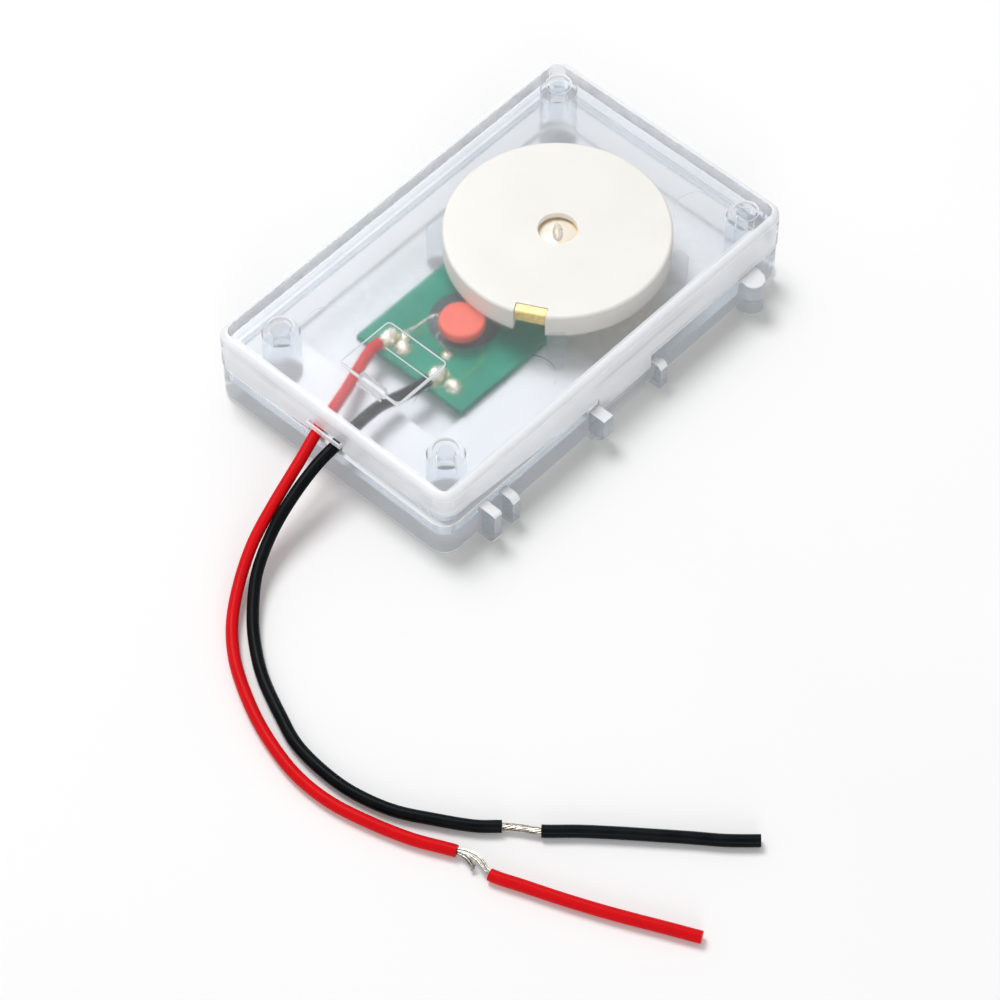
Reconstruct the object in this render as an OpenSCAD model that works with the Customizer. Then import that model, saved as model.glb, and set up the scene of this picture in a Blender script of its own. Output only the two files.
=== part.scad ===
// Electronic melody module: a frosted two-part case that holds a melody board and
// a piezo speaker, with a red and a black flying lead.
// Origin: centre of the case's underside. +X points away from the lead exit,
// +Y across the case, away from the side with the latch and lugs, +Z up.

/* [Case] */
// Length of the closed case
case_l = 65; // [62:0.5:90]
// Width of the closed case
case_w = 40.5; // [39:0.5:60]
// Thickness of the side walls
wall = 1.5; // [1.2:0.1:2]
// Thickness of the base's floor
floor_t = 1.5; // [1:0.1:1.8]
// Thickness of the lid's top
top_t = 1.5; // [1.2:0.1:2]
// Radius of the upright corners
corner_r = 2.5; // [2:0.1:4]
// Rounding of the lid's top edge
top_edge_r = 1; // [0.4:0.1:1.4]
// Rounding of the base's bottom edge
base_edge_r = 0.6; // [0.3:0.1:1]
// Height of the base's outer wall
base_h = 6; // [5.5:0.1:7]
// How far the base stands inside the lid's outline
base_inset = 0.1; // [0.05:0.05:0.5]
// Gap between the lid's lower edge and the base's wall
rim_gap = 0.15; // [0.1:0.05:0.5]
// Height of the lead slot between the base's wall and the lid
lead_slot_h = 1.9; // [1.8:0.1:2.4]
// How far the lid stands off the base at the corner between the leads and the latch
lid_lift = 2; // [0.2:0.1:2.2]
// Height of the base's inner lip above its wall
lip_h = 2.2; // [2:0.1:2.6]
// Thickness of the base's inner lip
lip_t = 0.7; // [0.5:0.05:0.8]
// Clearance between the lip and the lid
lip_clear = 0.15; // [0.1:0.05:0.25]

/* [Corner pins] */
// Diameter of the base's pins
pin_d = 2.4; // [2:0.1:3]
// Clearance round a pin in its bore
pin_clear = 0.06; // [0.03:0.01:0.15]
// Diameter of the recess round each bore in the lid's top
recess_d = 3.5; // [3.2:0.1:5]
// Depth of that recess
recess_h = 0.5; // [0.4:0.1:1]
// Outside diameter of the bosses and pillars
boss_d = 5; // [4.6:0.1:6]
// Distance of the lead-end pins from the end of the case
near_pin_x = 6.5; // [5:0.1:8]
// Distance of the lead-end pins from the sides of the case
near_pin_y = 5.9; // [4.2:0.1:7]
// Distance of the other pins from the end of the case
far_pin_x = 3.8; // [3.5:0.1:3.9]
// Distance of the other pins from the sides of the case
far_pin_y = 3.9; // [3.6:0.1:3.9]

/* [Latch and lugs] */
// Width of the lid's latch tab
latch_w = 9.9; // [8:0.1:12]
// Place of the latch tab along the case
latch_x = 1.1; // [-3:0.1:4]
// Height of the tab's lower edge
latch_z = 3.4; // [2.5:0.1:4.5]
// Thickness of the latch tab
latch_t = 1.1; // [0.9:0.05:1.3]
// Clearance round the latch tab
latch_clear = 0.2; // [0.1:0.05:0.3]
// Thickness of the side ribs
rib_t = 1.4; // [1:0.1:1.8]
// Reach of the side ribs beyond the base's wall
rib_out = 2.6; // [2:0.1:3]
// Diameter of the half-round lug
lug_d = 3.2; // [2.6:0.1:4]

/* [Speaker] */
// Diameter of the speaker housing
speaker_d = 30; // [24:0.5:31]
// Height of the speaker housing
speaker_h = 3.3; // [3:0.1:3.6]
// Distance of the speaker's centre from the end of the case
speaker_end = 21.7; // [21:0.1:24]
// Diameter of the sound hole
sound_hole_d = 5.2; // [3:0.1:8]
// Width of the notch in the housing's rim
notch_w = 4.2; // [3:0.1:5]
// Diameter of the piezo ceramic
ceramic_d = 18; // [14:0.5:19]
// Thickness of the brass diaphragm
brass_t = 0.25; // [0.15:0.05:0.3]
// Clearance between the speaker and the lid
speaker_gap = 0.2; // [0.1:0.05:0.4]
// Clearance between the capacitor and the speaker's rim above it
head_room = 0.15; // [0.1:0.05:1]

/* [Board] */
// Length of the circuit board
board_l = 25; // [23:0.5:28]
// Width of the circuit board
board_w = 18.5; // [17:0.5:20]
// Thickness of the circuit board
board_t = 1; // [0.8:0.1:1.2]
// Height of the ribs under the board
board_rest_h = 1.5; // [1.2:0.1:2]
// Diameter of the black epoxy drop over the chip
glob_d = 9.6; // [8:0.1:11]
// Height of the epoxy drop
glob_h = 1.3; // [1:0.1:1.5]
// Diameter of the ceramic capacitor
capacitor_d = 6.1; // [5:0.1:7]
// Thickness of the ceramic capacitor
capacitor_t = 1.5; // [1.2:0.1:1.8]

/* [Leads] */
// Diameter of the leads' insulation
lead_d = 1.6; // [1.2:0.1:1.7]
// Diameter of the bare strands
strand_d = 0.9; // [0.6:0.1:1]

/* [Hidden] */
$fn = 48;
cut = 0.01;            // how far a cut runs past the face it opens
deep = 40;             // longer than any cut through the case

frosted = [0.86, 0.88, 0.91, 0.45];
board_green = "#1fa07a";
copper = "#c9a06a";
epoxy_black = "#1d262b";
salmon = "#ee6a58";
cream = "#f4efe6";
brass = "#e3bb55";
solder = "#c9c2b4";
lead_red = "#f01f22";
lead_black = "#14222a";

// The heights of what lies under the lid add up to the height of the case
board_z = floor_t + board_rest_h;
board_top = board_z + board_t;
capacitor_gap = 0.05;                // between the epoxy drop and the capacitor
capacitor_z = board_top + glob_h + capacitor_gap;
speaker_z = capacitor_z + capacitor_t + head_room;
speaker_top = speaker_z + speaker_h;
lid_under = speaker_top + speaker_gap;
case_h = lid_under + top_t;

// Case, from outside to inside
base_l = case_l - 2 * base_inset;
base_w = case_w - 2 * base_inset;
room_l = base_l - 2 * wall;
room_w = base_w - 2 * wall;
lip_l = room_l + 2 * lip_t;
lip_w = room_w + 2 * lip_t;
lip_top = base_h + lip_h;
lid_z = base_h + rim_gap;
lift_run = [20.5, 32.25];            // from the lifted corner to where the lid is level again
side_y = -base_w / 2;                // outer face of the base's latch side
pillar_top = base_h + 0.9;           // where the lid's bosses stand on the base's pillars
pin_top = case_h - recess_h - 0.2;   // the pins end below the lid's recesses
latch_low = latch_x - latch_w / 2;
latch_high = latch_x + latch_w / 2;
latch_step = 1.2;                    // height of the step under the latch's pocket
latch_step_in = 0.7;                 // how far that step stands back
latch_pad_t = 1.2;                   // thickening of the wall behind the latch
end_ribs = [-case_l / 2 + 6.1, -case_l / 2 + 9.9];
half_round_x = case_l / 2 - 7.6;
half_round_out = 1.1;                // from the wall to the half-round lug's centre
stop_t = 1.7;                        // thickness of the sloped stop beside the latch
pins = [
    [-case_l / 2 + near_pin_x, -case_w / 2 + near_pin_y],
    [-case_l / 2 + near_pin_x, case_w / 2 - near_pin_y],
    [case_l / 2 - far_pin_x, -case_w / 2 + far_pin_y],
    [case_l / 2 - far_pin_x, case_w / 2 - far_pin_y]];

// Speaker, carried by four posts of the base
speaker_x = case_l / 2 - speaker_end;
speaker_y = 0.3;
speaker_rim = 1.35;                  // thickness of the housing's rim
speaker_ledge = 1.4;                 // width of the ledge that carries the diaphragm
speaker_plate = 0.8;                 // thickness of the housing's top
brass_r = speaker_d / 2 - speaker_rim - 0.15;
brass_drop = 0.3;                    // from the housing's top plate to the brass
brass_top = speaker_top - speaker_plate - brass_drop;
tab_top = speaker_top - 0.2;         // the brass's tab in the notch, folded up and over
tab_w = notch_w - 0.2;
brass_z = brass_top - brass_t;
ceramic_t = 0.2;
ceramic_z = brass_z - ceramic_t;
notch_turn = 208;                    // the notch faces the lead end
notch_in = speaker_d / 2 - 1.7;      // radius at which the notch starts
tab_in = notch_in + 0.05;
tab_out = speaker_d / 2 - 0.4;
post_d = 2.6;
post_turns = [-57, 57, 125, 222];    // round the speaker, clear of the board
post_r = speaker_d / 2 + 0.9;
post_top = speaker_z + 0.8;
post_clear = 0.15;                   // round the housing and the board

// Board, placed from the speaker that covers its far half
board_x = speaker_x - 26.6;
board_y = -7.4;
copper_t = 0.05;
pad_z = board_top + copper_t;
glob_at = [board_x + 11.2, board_y + 9.9];
die = [1.8, 1.6, 0.4];
capacitor_at = [board_x + 9.3, board_y + 8.6];
capacitor_edge = 0.6;
red_joint_at = [board_x + 0.65, board_y + 14.9];
black_joint_at = [board_x + 0.45, board_y + 6.1];
joint_l = 3;
joint_d = 1.9;
joint_up = 0.35;                     // of its axis over the pads
dot_d = 2;
dot_h = 0.9;
pad_w = 2.4;
wire_pad_d = 1.6;
wire_drop_d = 1.4;                   // solder round the end of a wire
wire_drop_h = 0.6;
red_dot_at = [board_x + 2.4, board_y + 12.5];
black_dot_at = [board_x + 2.2, board_y + 3.5];
wire_d = 0.5;
capacitor_pads = [[board_x + 3.9, board_y + 13.6], [board_x + 5.4, board_y + 7.6]];
speaker_pads = [[board_x + 22, board_y + 11.4], [board_x + 22, board_y + 4.4]];
brass_tap_r = (ceramic_d / 2 + brass_r) / 2;
brass_tap_turn = 190;
speaker_taps = [[speaker_x - 5, speaker_y + 1.5, ceramic_z],
    [speaker_x + brass_tap_r * cos(brass_tap_turn),
        speaker_y + brass_tap_r * sin(brass_tap_turn), brass_z]];

// Raised floor at the lead end and along the latch side
shelf_z = board_z;
shelf_x = -case_l / 2 + 12;
shelf_y = board_y - 0.2;
shelf_end = speaker_x - 8.5;
shelf_slope = 3;

// Leads: points along each lead from its solder joint to its far end, and the
// points between which the strands lie bare
lead_exits = [2, -1.2];
lead_play = 0.6;
red_points = [[-15.25, 7.5, 4.9], [-17.2, 7.35, 4.95], [-20.5, 6.2, 5.3], [-24.5, 4.6, 5.9],
    [-28.5, 3.2, 6.6], [-32.5, 2, 6.95], [-37, 0.7, 6.3], [-43, -0.7, 4.8], [-48, -2.1, 3.4],
    [-52.5, -4.2, 2.2], [-57, -7.2, 1.4], [-60.3, -10.5, 1], [-63, -14.5, 0.9],
    [-65.7, -20, 0.9], [-67.5, -25.5, 0.9], [-68.3, -30, 0.9], [-68.2, -35, 0.9],
    [-67, -40.5, 0.9], [-65.3, -45.7, 0.9], [-63, -50.6, 0.9], [-62.5, -53.1, 0.9],
    [-62.7, -55.7, 0.9], [-61.1, -59.9, 0.9], [-59.5, -64, 0.9], [-57.8, -68, 0.9],
    [-56, -71.9, 0.9], [-54.1, -75.8, 0.9], [-52.2, -79.8, 0.9]];
red_bare = [19, 21];
black_points = [[-15.45, -1.3, 4.9], [-17.5, -1.2, 4.95], [-20, -0.8, 5.3], [-23.5, -0.3, 5.9],
    [-28, -0.7, 6.6], [-32.5, -1.2, 6.95], [-36, -1.3, 6.4], [-41, -2, 5.3], [-46, -3.2, 3.8],
    [-51, -5.5, 2.5], [-55.3, -9, 1.5], [-58.3, -12.4, 1], [-61, -16.5, 0.9], [-63.5, -22, 0.9],
    [-65, -26, 0.9], [-65.6, -30.7, 0.9], [-65.4, -35.7, 0.9], [-64, -41, 0.9],
    [-61.6, -45.5, 0.9], [-59, -49.7, 0.9], [-56.8, -52.2, 0.9], [-55.4, -54.1, 0.9],
    [-54.1, -56.1, 0.9], [-51, -59.5, 0.9], [-48.1, -63, 0.9], [-45.4, -66.4, 0.9],
    [-42.8, -69.7, 0.9], [-40.2, -73.1, 0.9], [-37.4, -76.2, 0.9]];
black_bare = [20, 22];
lead_sides = 8;
lead_steps = 2;                      // rings from one point to the next

// ---- shared shapes ----

// A rectangle with round corners, centred
module rounded_plan(l, w, r) {
    square([l - 2 * r, w], center = true);
    square([l, w - 2 * r], center = true);
    for (sx = [-1, 1], sy = [-1, 1])
        translate([sx * (l / 2 - r), sy * (w / 2 - r)]) circle(r);
}

// The side view of a block whose top edges are rounded by e
module top_round_side(w, h, e) {
    translate([-w / 2, 0]) square([w, h - e]);
    translate([-w / 2 + e, 0]) square([w - 2 * e, h]);
    for (s = [-1, 1]) translate([s * (w / 2 - e), h - e]) circle(e);
}

// A block with round upright corners and rounded top edges
module rounded_block(l, w, h, r, e) {
    intersection() {
        linear_extrude(h) rounded_plan(l, w, r);
        rotate([90, 0, 0]) linear_extrude(w + 2, center = true) top_round_side(l, h, e);
        rotate([90, 0, 90]) linear_extrude(l + 2, center = true) top_round_side(w, h, e);
    }
}

module post(at, d, z0, z1) {
    translate([at[0], at[1], z0]) cylinder(d = d, h = z1 - z0);
}

// A block given by its lowest and highest corners
module block(low, high) {
    translate(low) cube(high - low);
}

// A low round drop of solder or resin with a flat underside
module drop(at, z, d, h) {
    ball = (d * d / 4 + h * h) / (2 * h);
    translate([at[0], at[1], z]) rotate_extrude() intersection() {
        translate([0, h - ball]) circle(ball, $fn = 240);
        square([d, h]);
    }
}

// A point on a smooth curve through p[i] and p[i + 1], at share t between them
function at_or_end(p, i) = p[max(0, min(len(p) - 1, i))];
function on_curve(p, i, t) =
    let (a = at_or_end(p, i - 1), b = p[i], c = at_or_end(p, i + 1), d = at_or_end(p, i + 2))
    0.5 * (2 * b + (c - a) * t + (2 * a - 5 * b + 4 * c - d) * t * t
        + (3 * b - a - 3 * c + d) * t * t * t);
function smooth(p, n) = concat(
    [for (i = [0 : len(p) - 2], k = [0 : n - 1]) on_curve(p, i, k / n)], [p[len(p) - 1]]);
function heading(p, i) =
    let (v = at_or_end(p, i + 1) - at_or_end(p, i - 1)) v / norm(v);
function unit(v) = v / norm(v);
function ring(p, i, r, n, flat) =
    let (v = heading(p, i), s = unit(cross(v, flat)), u = cross(s, v))
    [for (k = [0 : n - 1]) p[i] + r * (cos(360 * (k + 0.5) / n) * s + sin(360 * (k + 0.5) / n) * u)];

// A plain round lead along points, from one of them to another; "flat" is a
// direction the lead never runs along
module lead_tube(points, d, from = 0, to = undef, flat = [0, 0, 1]) {
    p = smooth(points, lead_steps);
    first = from * lead_steps;
    last = is_undef(to) ? len(p) - 1 : to * lead_steps;
    count = last - first;
    n = lead_sides;
    polyhedron(
        points = [for (i = [first : last]) each ring(p, i, d / 2, n, flat)],
        faces = concat(
            [[for (k = [0 : n - 1]) k]],
            [for (i = [0 : count - 1], k = [0 : n - 1]) [i * n + k, (i + 1) * n + k,
                (i + 1) * n + (k + 1) % n, i * n + (k + 1) % n]],
            [[for (k = [n - 1 : -1 : 0]) count * n + k]]));
}

// ---- case ----

// Rib whose outer end is rounded, by low at its foot and by high at its top
module side_rib(x, t, out, top, low, high) {
    translate([x, side_y, 0]) rotate([90, 0, 90]) linear_extrude(t) {
        translate([-out, low]) square([out + cut, top - low - high]);
        translate([low - out, 0]) square([out - low + cut, top - high]);
        translate([high - out, low]) square([out - high + cut, top - low]);
        translate([low - out, low]) circle(low);
        translate([high - out, top - high]) circle(high);
    }
}

// Rib whose lower outer corner is cut away at a slope
module sloped_rib(x, t, out, top) {
    slope_in = 0.7;
    slope_up = 2.2;
    translate([x, side_y, 0]) rotate([90, 0, 90]) linear_extrude(t)
        polygon([[cut, 0], [cut, top], [-out, top], [-out, slope_up], [-slope_in, 0]]);
}

module half_round_lug(x, top) {
    centre_y = side_y - half_round_out;
    post([x, centre_y], lug_d, 0, top);
    block([x - lug_d / 2, centre_y, 0], [x + lug_d / 2, side_y + cut, top]);
}

module lower_case() {
    pocket_y = -case_w / 2 + latch_t + latch_clear;
    color(frosted) difference() {
        union() {
            difference() {
                union() {
                    translate([0, 0, base_h]) mirror([0, 0, 1])
                        rounded_block(base_l, base_w, base_h, corner_r, base_edge_r);
                    linear_extrude(lip_top) rounded_plan(lip_l, lip_w, corner_r - wall + lip_t);
                }
                translate([0, 0, floor_t]) linear_extrude(deep)
                    rounded_plan(room_l, room_w, corner_r - wall);
            }
            shelf();
            board_rests();
            speaker_posts();
            for (p = pins) {
                post(p, boss_d, floor_t - cut, pillar_top);
                post(p, pin_d, floor_t, pin_top);
            }
            // thicker wall behind the latch pocket
            block([latch_low - wall, -room_w / 2 - cut, floor_t - cut],
                [latch_high + wall, -room_w / 2 + latch_pad_t, base_h]);
            // ribs and lugs on the latch side
            side_rib(end_ribs[0], rib_t, rib_out + 0.2, base_h - 0.2, 1.2, 0.4);
            side_rib(end_ribs[1], rib_t, rib_out - 0.2, base_h - 0.9, 0.5, 0.9);
            sloped_rib(latch_low - latch_clear - stop_t, stop_t, rib_out, base_h - 0.7);
            side_rib(latch_high + latch_clear, rib_t, rib_out - 1, base_h - 1.4, 0.3, 0.8);
            half_round_lug(half_round_x, base_h - 0.3);
        }
        // pocket for the latch tab, with a lower step under it
        block([latch_low - latch_clear, side_y - cut, latch_step],
            [latch_high + latch_clear, pocket_y, deep]);
        block([latch_low - latch_clear, side_y - cut, -cut],
            [latch_high + latch_clear, side_y + latch_step_in, latch_step + cut]);
        // room in the lip for the lid's bosses
        for (p = pins) difference() {
            post(p, boss_d + 2 * lip_clear, base_h, deep);
            post(p, boss_d, base_h - 1, pillar_top);
            post(p, pin_d, base_h - 1, deep + 1);
        }
        // way out for the leads through the lip
        block([-base_l / 2 - 1, lead_exits[1] - lead_d / 2 - lead_play, base_h],
            [-room_l / 2 + 1, lead_exits[0] + lead_d / 2 + lead_play, deep]);
    }
}

// Raised floor that borders the board's pocket
module shelf() {
    left = -room_l / 2 - cut;
    low = -room_w / 2 - cut;
    translate([0, 0, floor_t - cut]) linear_extrude(shelf_z - floor_t + cut) {
        translate([left, low]) square([shelf_x - left, room_w + 2 * cut]);
        polygon([[left, low], [shelf_end, low], [shelf_end, shelf_y - shelf_slope],
            [shelf_end - shelf_slope, shelf_y], [left, shelf_y]]);
    }
}

module board_rests() {
    rest_t = 1;
    rest_in = 4;                     // from the board's ends
    for (x = [board_x + rest_in, board_x + board_l - rest_in])
        block([x, shelf_y, floor_t - cut], [x + rest_t, board_y + board_w, board_z]);
}

module speaker_posts() {
    difference() {
        for (a = post_turns)
            post([speaker_x + post_r * cos(a), speaker_y + post_r * sin(a)],
                post_d, floor_t - cut, post_top);
        translate([speaker_x, speaker_y, speaker_z])
            cylinder(d = speaker_d + 2 * post_clear, h = deep);
        block([board_x, board_y, board_z] - post_clear * [1, 1, 0],
            [board_x + board_l + post_clear, board_y + board_w + post_clear, speaker_z]);
    }
}

module upper_case() {
    groove_l = lip_l + 2 * lip_clear;
    groove_w = lip_w + 2 * lip_clear;
    inner_l = case_l - 2 * wall;
    inner_w = case_w - 2 * wall;
    color(frosted) difference() {
        union() {
            difference() {
                rounded_block(case_l, case_w, case_h, corner_r, top_edge_r);
                translate([0, 0, -cut]) linear_extrude(lid_under + cut)
                    rounded_plan(inner_l, inner_w, corner_r - wall);
                translate([0, 0, -cut]) linear_extrude(lip_top + 0.2 + cut)
                    rounded_plan(groove_l, groove_w, corner_r - wall + lip_t + lip_clear);
                translate([0, 0, -cut]) linear_extrude(lid_z + cut)
                    square([case_l + 2, case_w + 2], center = true);
                lifted_edge();
                lead_slot();
            }
            for (p = pins) post(p, boss_d, pillar_top, lid_under + cut);
            block([latch_low, -case_w / 2, latch_z],
                [latch_low + latch_w, -case_w / 2 + latch_t, lid_z + cut]);
            underside_ribs();
            lead_hood();
        }
        for (p = pins) {
            post(p, pin_d + 2 * pin_clear, pillar_top - cut, case_h + cut);
            post(p, recess_d, case_h - recess_h, case_h + cut);
        }
        ejector_marks();
    }
}

// The lid's edge stands off the base, most at the corner between the leads and the latch
module lifted_edge() {
    slope = [lid_lift / lift_run[0], lid_lift / lift_run[1]];
    translate([-case_l / 2, -case_w / 2, lid_z + lid_lift])
        rotate([0, 0, atan2(slope[1], slope[0])]) rotate([0, atan(norm(slope)), 0])
        translate([-deep, -deep, -deep]) cube([2 * deep, 2 * deep, deep]);
}

// Way out for the leads through the lid's wall
module lead_slot() {
    block([-case_l / 2 - 1, lead_exits[1] - lead_d / 2 - lead_play, base_h - 1],
        [-room_l / 2 + 1, lead_exits[0] + lead_d / 2 + lead_play, base_h + lead_slot_h]);
}

// Shallow rib frame above the leads' entry, with a low rib inside it and a
// clamp rib outside it
module underside_ribs() {
    size = [9.2, 10.3];
    at = [board_x - 4.1, board_y + 7.85];
    low = at - size / 2;
    rib = 0.2;
    frame_h = 0.3;
    clamp = [1.1, 4.6, 1.4];
    bend_r = 1.6;
    translate([at[0], at[1], lid_under - frame_h]) linear_extrude(frame_h + cut) difference() {
        rounded_plan(size[0], size[1], bend_r);
        rounded_plan(size[0] - 2 * rib, size[1] - 2 * rib, bend_r - rib);
    }
    block([low[0] + 5.4, low[1] + rib - cut, lid_under - frame_h / 2],
        [low[0] + 5.6, low[1] + 7.6, lid_under + cut]);
    translate([low[0] - clamp[0] / 2 + cut, low[1] + 2 + clamp[1] / 2, lid_under - clamp[2]])
        linear_extrude(clamp[2] + cut) rounded_plan(clamp[0], clamp[1], 0.5);
}

// Thickened edge over the place where the leads come out
module lead_hood() {
    z = base_h + lead_slot_h;
    out = 0.5;
    block([-case_l / 2 - out, lead_exits[1] - lead_d / 2 - lead_play, z],
        [-case_l / 2 + out, lead_exits[0] + lead_d / 2 + lead_play, z + 0.9]);
}

module ejector_marks() {
    mark_d = 6.7;
    mark_h = 0.15;
    marks = [[-case_l / 2 + 11.3, -8.8], [-case_l / 2 + 11.3, 10.4], [-case_l / 2 + 22.7, -13.7],
        [case_l / 2 - 7.3, -11.4]];
    for (m = marks) post(m, mark_d, lid_under - cut, lid_under + mark_h);
}

// ---- board and what it carries ----

module circuit_board() {
    color(board_green) block([board_x, board_y, board_z],
        [board_x + board_l, board_y + board_w, board_top]);
}

// A track of copper foil along straight runs
module track(points, w) {
    for (i = [0 : len(points) - 2]) {
        run = points[i + 1] - points[i];
        translate(points[i]) rotate(atan2(run[1], run[0])) translate([0, -w / 2])
            square([norm(run), w]);
        translate(points[i + 1]) circle(d = w);
    }
}

// A square pad of foil, centred
module pad(at, l) {
    translate(at) square([l, pad_w], center = true);
}

module copper_tracks() {
    r = glob_d / 2 + 0.3;
    w = 0.5;
    color(copper) translate([0, 0, board_top]) linear_extrude(copper_t) {
        for (j = [red_joint_at, black_joint_at]) pad(j + [joint_l / 2, 0], joint_l + 0.2);
        for (d = [red_dot_at, black_dot_at]) pad(d, pad_w);
        for (p = concat(capacitor_pads, speaker_pads)) translate(p) circle(d = wire_pad_d);
        track([capacitor_pads[0], glob_at + r * [cos(150), sin(150)]], w);
        track([capacitor_pads[1], glob_at + r * [cos(200), sin(200)]], w);
        track([black_dot_at, black_dot_at + [5.4, 0], glob_at + r * [cos(250), sin(250)]], w);
        track([speaker_pads[0], glob_at + r * [cos(20), sin(20)]], w);
        track([speaker_pads[1], glob_at + r * [cos(-35), sin(-35)]], w);
    }
}

module melody_chip() {
    color("#55585c") translate([glob_at[0] - die[0] / 2, glob_at[1] - die[1] / 2, board_top])
        cube(die);
}

module chip_epoxy() {
    color(epoxy_black) difference() {
        drop(glob_at, board_top, glob_d, glob_h);
        translate([glob_at[0] - die[0] / 2, glob_at[1] - die[1] / 2, board_top - 1])
            cube([die[0], die[1], die[2] + 1]);
    }
}

module ceramic_capacitor() {
    r = capacitor_d / 2;
    e = capacitor_edge;
    color(salmon) translate([capacitor_at[0], capacitor_at[1], capacitor_z]) rotate_extrude() {
        square([r - e, capacitor_t]);
        translate([0, e]) square([r, capacitor_t - 2 * e]);
        for (z = [e, capacitor_t - e]) translate([r - e, z]) circle(e);
    }
}

module capacitor_wires() {
    mid = capacitor_z + capacitor_t / 2;
    turns = [112, 165];              // where each wire leaves the capacitor's rim
    color(solder) for (i = [0, 1])
        let (out = [cos(turns[i]), sin(turns[i])],
            a = capacitor_at + (capacitor_d / 2 + capacitor_gap) * out,
            b = a + 0.7 * out,
            p = capacitor_pads[i],
            c = 0.35 * b + 0.65 * p)
        lead_tube([[a[0], a[1], mid], [b[0], b[1], mid - 0.1], [c[0], c[1], mid - 0.9],
            [p[0], p[1], pad_z + 1.1], [p[0], p[1], pad_z + 0.6], [p[0], p[1], pad_z]], wire_d,
            flat = [a[1] - p[1], p[0] - a[0], 0]);
}

// An elongated joint that covers the end of a lead
module long_joint(at) {
    r = joint_d / 2;
    color(solder) intersection() {
        translate([at[0], at[1], pad_z + joint_up]) {
            rotate([0, 90, 0]) cylinder(r = r, h = joint_l - r);
            translate([joint_l - r, 0, 0]) sphere(r);
        }
        block([at[0], at[1] - joint_d, pad_z], [at[0] + joint_l, at[1] + joint_d, speaker_z]);
    }
}

module lead_solder_joints() {
    long_joint(red_joint_at);
    long_joint(black_joint_at);
}

module board_solder_dots() {
    color(solder) {
        drop(red_dot_at, pad_z, dot_d, dot_h);
        drop(black_dot_at, pad_z, dot_d, dot_h);
        for (p = capacitor_pads) drop_on_wire([p[0], p[1], pad_z], wire_drop_d, wire_drop_h);
    }
}

// A drop of solder round the end of a wire
module drop_on_wire(at, d, h) {
    difference() {
        drop(at, at[2], d, h);
        post(at, wire_d + 0.02, at[2] - 1, at[2] + h + 1);
    }
}

// ---- speaker ----

module speaker_housing() {
    r = speaker_d / 2;
    edge = 0.4;
    pocket_r = r - speaker_rim;
    ledge_r = pocket_r - speaker_ledge;
    color(cream) translate([speaker_x, speaker_y, 0]) difference() {
        rotate_extrude() difference() {
            union() {
                translate([0, speaker_z]) square([r, speaker_h - edge]);
                translate([0, speaker_z]) square([r - edge, speaker_h]);
                translate([r - edge, speaker_top - edge]) circle(edge);
            }
            translate([-1, speaker_z - 1]) square([pocket_r + 1, brass_top - speaker_z + 1]);
            translate([-1, speaker_z - 1]) square([ledge_r + 1, speaker_h - speaker_plate + 1]);
            square([sound_hole_d / 2, deep]);
        }
        // the notch cuts the rim right through, and reaches in under the top
        rotate(notch_turn) {
            block([notch_in, -notch_w / 2, speaker_z - 1], [r + 1, notch_w / 2, speaker_top + 1]);
            block([ledge_r - 1, -notch_w / 2, speaker_z - 1],
                [r + 1, notch_w / 2, speaker_top - speaker_plate]);
        }
    }
}

// Disc with a tab that is folded up in the housing's notch, out over its edge and down
module brass_diaphragm() {
    hang = 1.6;
    color(brass) translate([speaker_x, speaker_y, 0]) {
        post([0, 0], 2 * brass_r, brass_z, brass_top);
        rotate(notch_turn) {
            block([brass_r / 2, -tab_w / 2, brass_z], [tab_in + brass_t, tab_w / 2, brass_top]);
            block([tab_in, -tab_w / 2, brass_z], [tab_in + brass_t, tab_w / 2, tab_top]);
            block([tab_in, -tab_w / 2, tab_top - brass_t], [tab_out, tab_w / 2, tab_top]);
            block([tab_out - brass_t, -tab_w / 2, tab_top - hang], [tab_out, tab_w / 2, tab_top]);
        }
    }
}

module piezo_ceramic() {
    color("#e9e6da") post([speaker_x, speaker_y], ceramic_d, ceramic_z, brass_z);
}

// A ridge of solder on a flat drop, under the sound hole
module centre_solder() {
    ridge_r = 0.5;
    ridge_l = 0.9;
    ridge_turn = 223;
    color(solder) translate([speaker_x, speaker_y, brass_top]) {
        drop([0, 0], 0, 2.6, 0.35);
        intersection() {
            translate([0, 0, ridge_r]) rotate(ridge_turn) rotate([0, 90, 0]) {
                cylinder(r = ridge_r, h = ridge_l, center = true);
                for (s = [-1, 1]) translate([0, 0, s * ridge_l / 2]) sphere(ridge_r);
            }
            cylinder(r = 2, h = 2);
        }
    }
}

module speaker_wires() {
    color("#b8322c") for (i = [0, 1])
        let (a = speaker_taps[i], p = speaker_pads[i])
        lead_tube([a, a - [0, 0, 0.5], a - [0, 0, 0.9],
            [(a[0] + p[0]) / 2, (a[1] + p[1]) / 2, (a[2] + pad_z) / 2],
            [p[0], p[1], pad_z + 0.9], [p[0], p[1], pad_z + 0.5], [p[0], p[1], pad_z]], wire_d,
            flat = [a[1] - p[1], p[0] - a[0], 0]);
}

module speaker_wire_joints() {
    color(solder) {
        for (a = speaker_taps)
            translate(a) mirror([0, 0, 1]) drop_on_wire([0, 0, 0], wire_drop_d, wire_drop_h);
        for (p = speaker_pads) drop_on_wire([p[0], p[1], pad_z], wire_drop_d, wire_drop_h);
    }
}

// ---- leads ----

module red_lead() {
    color(lead_red) lead_tube(red_points, lead_d, 0, red_bare[0]);
}

module red_lead_strands() {
    color(solder) lead_tube(red_points, strand_d, red_bare[0], red_bare[1]);
}

module red_lead_sleeve() {
    color(lead_red) lead_tube(red_points, lead_d, red_bare[1]);
}

module black_lead() {
    color(lead_black) lead_tube(black_points, lead_d, 0, black_bare[0]);
}

module black_lead_strands() {
    color(solder) lead_tube(black_points, strand_d, black_bare[0], black_bare[1]);
}

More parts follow.
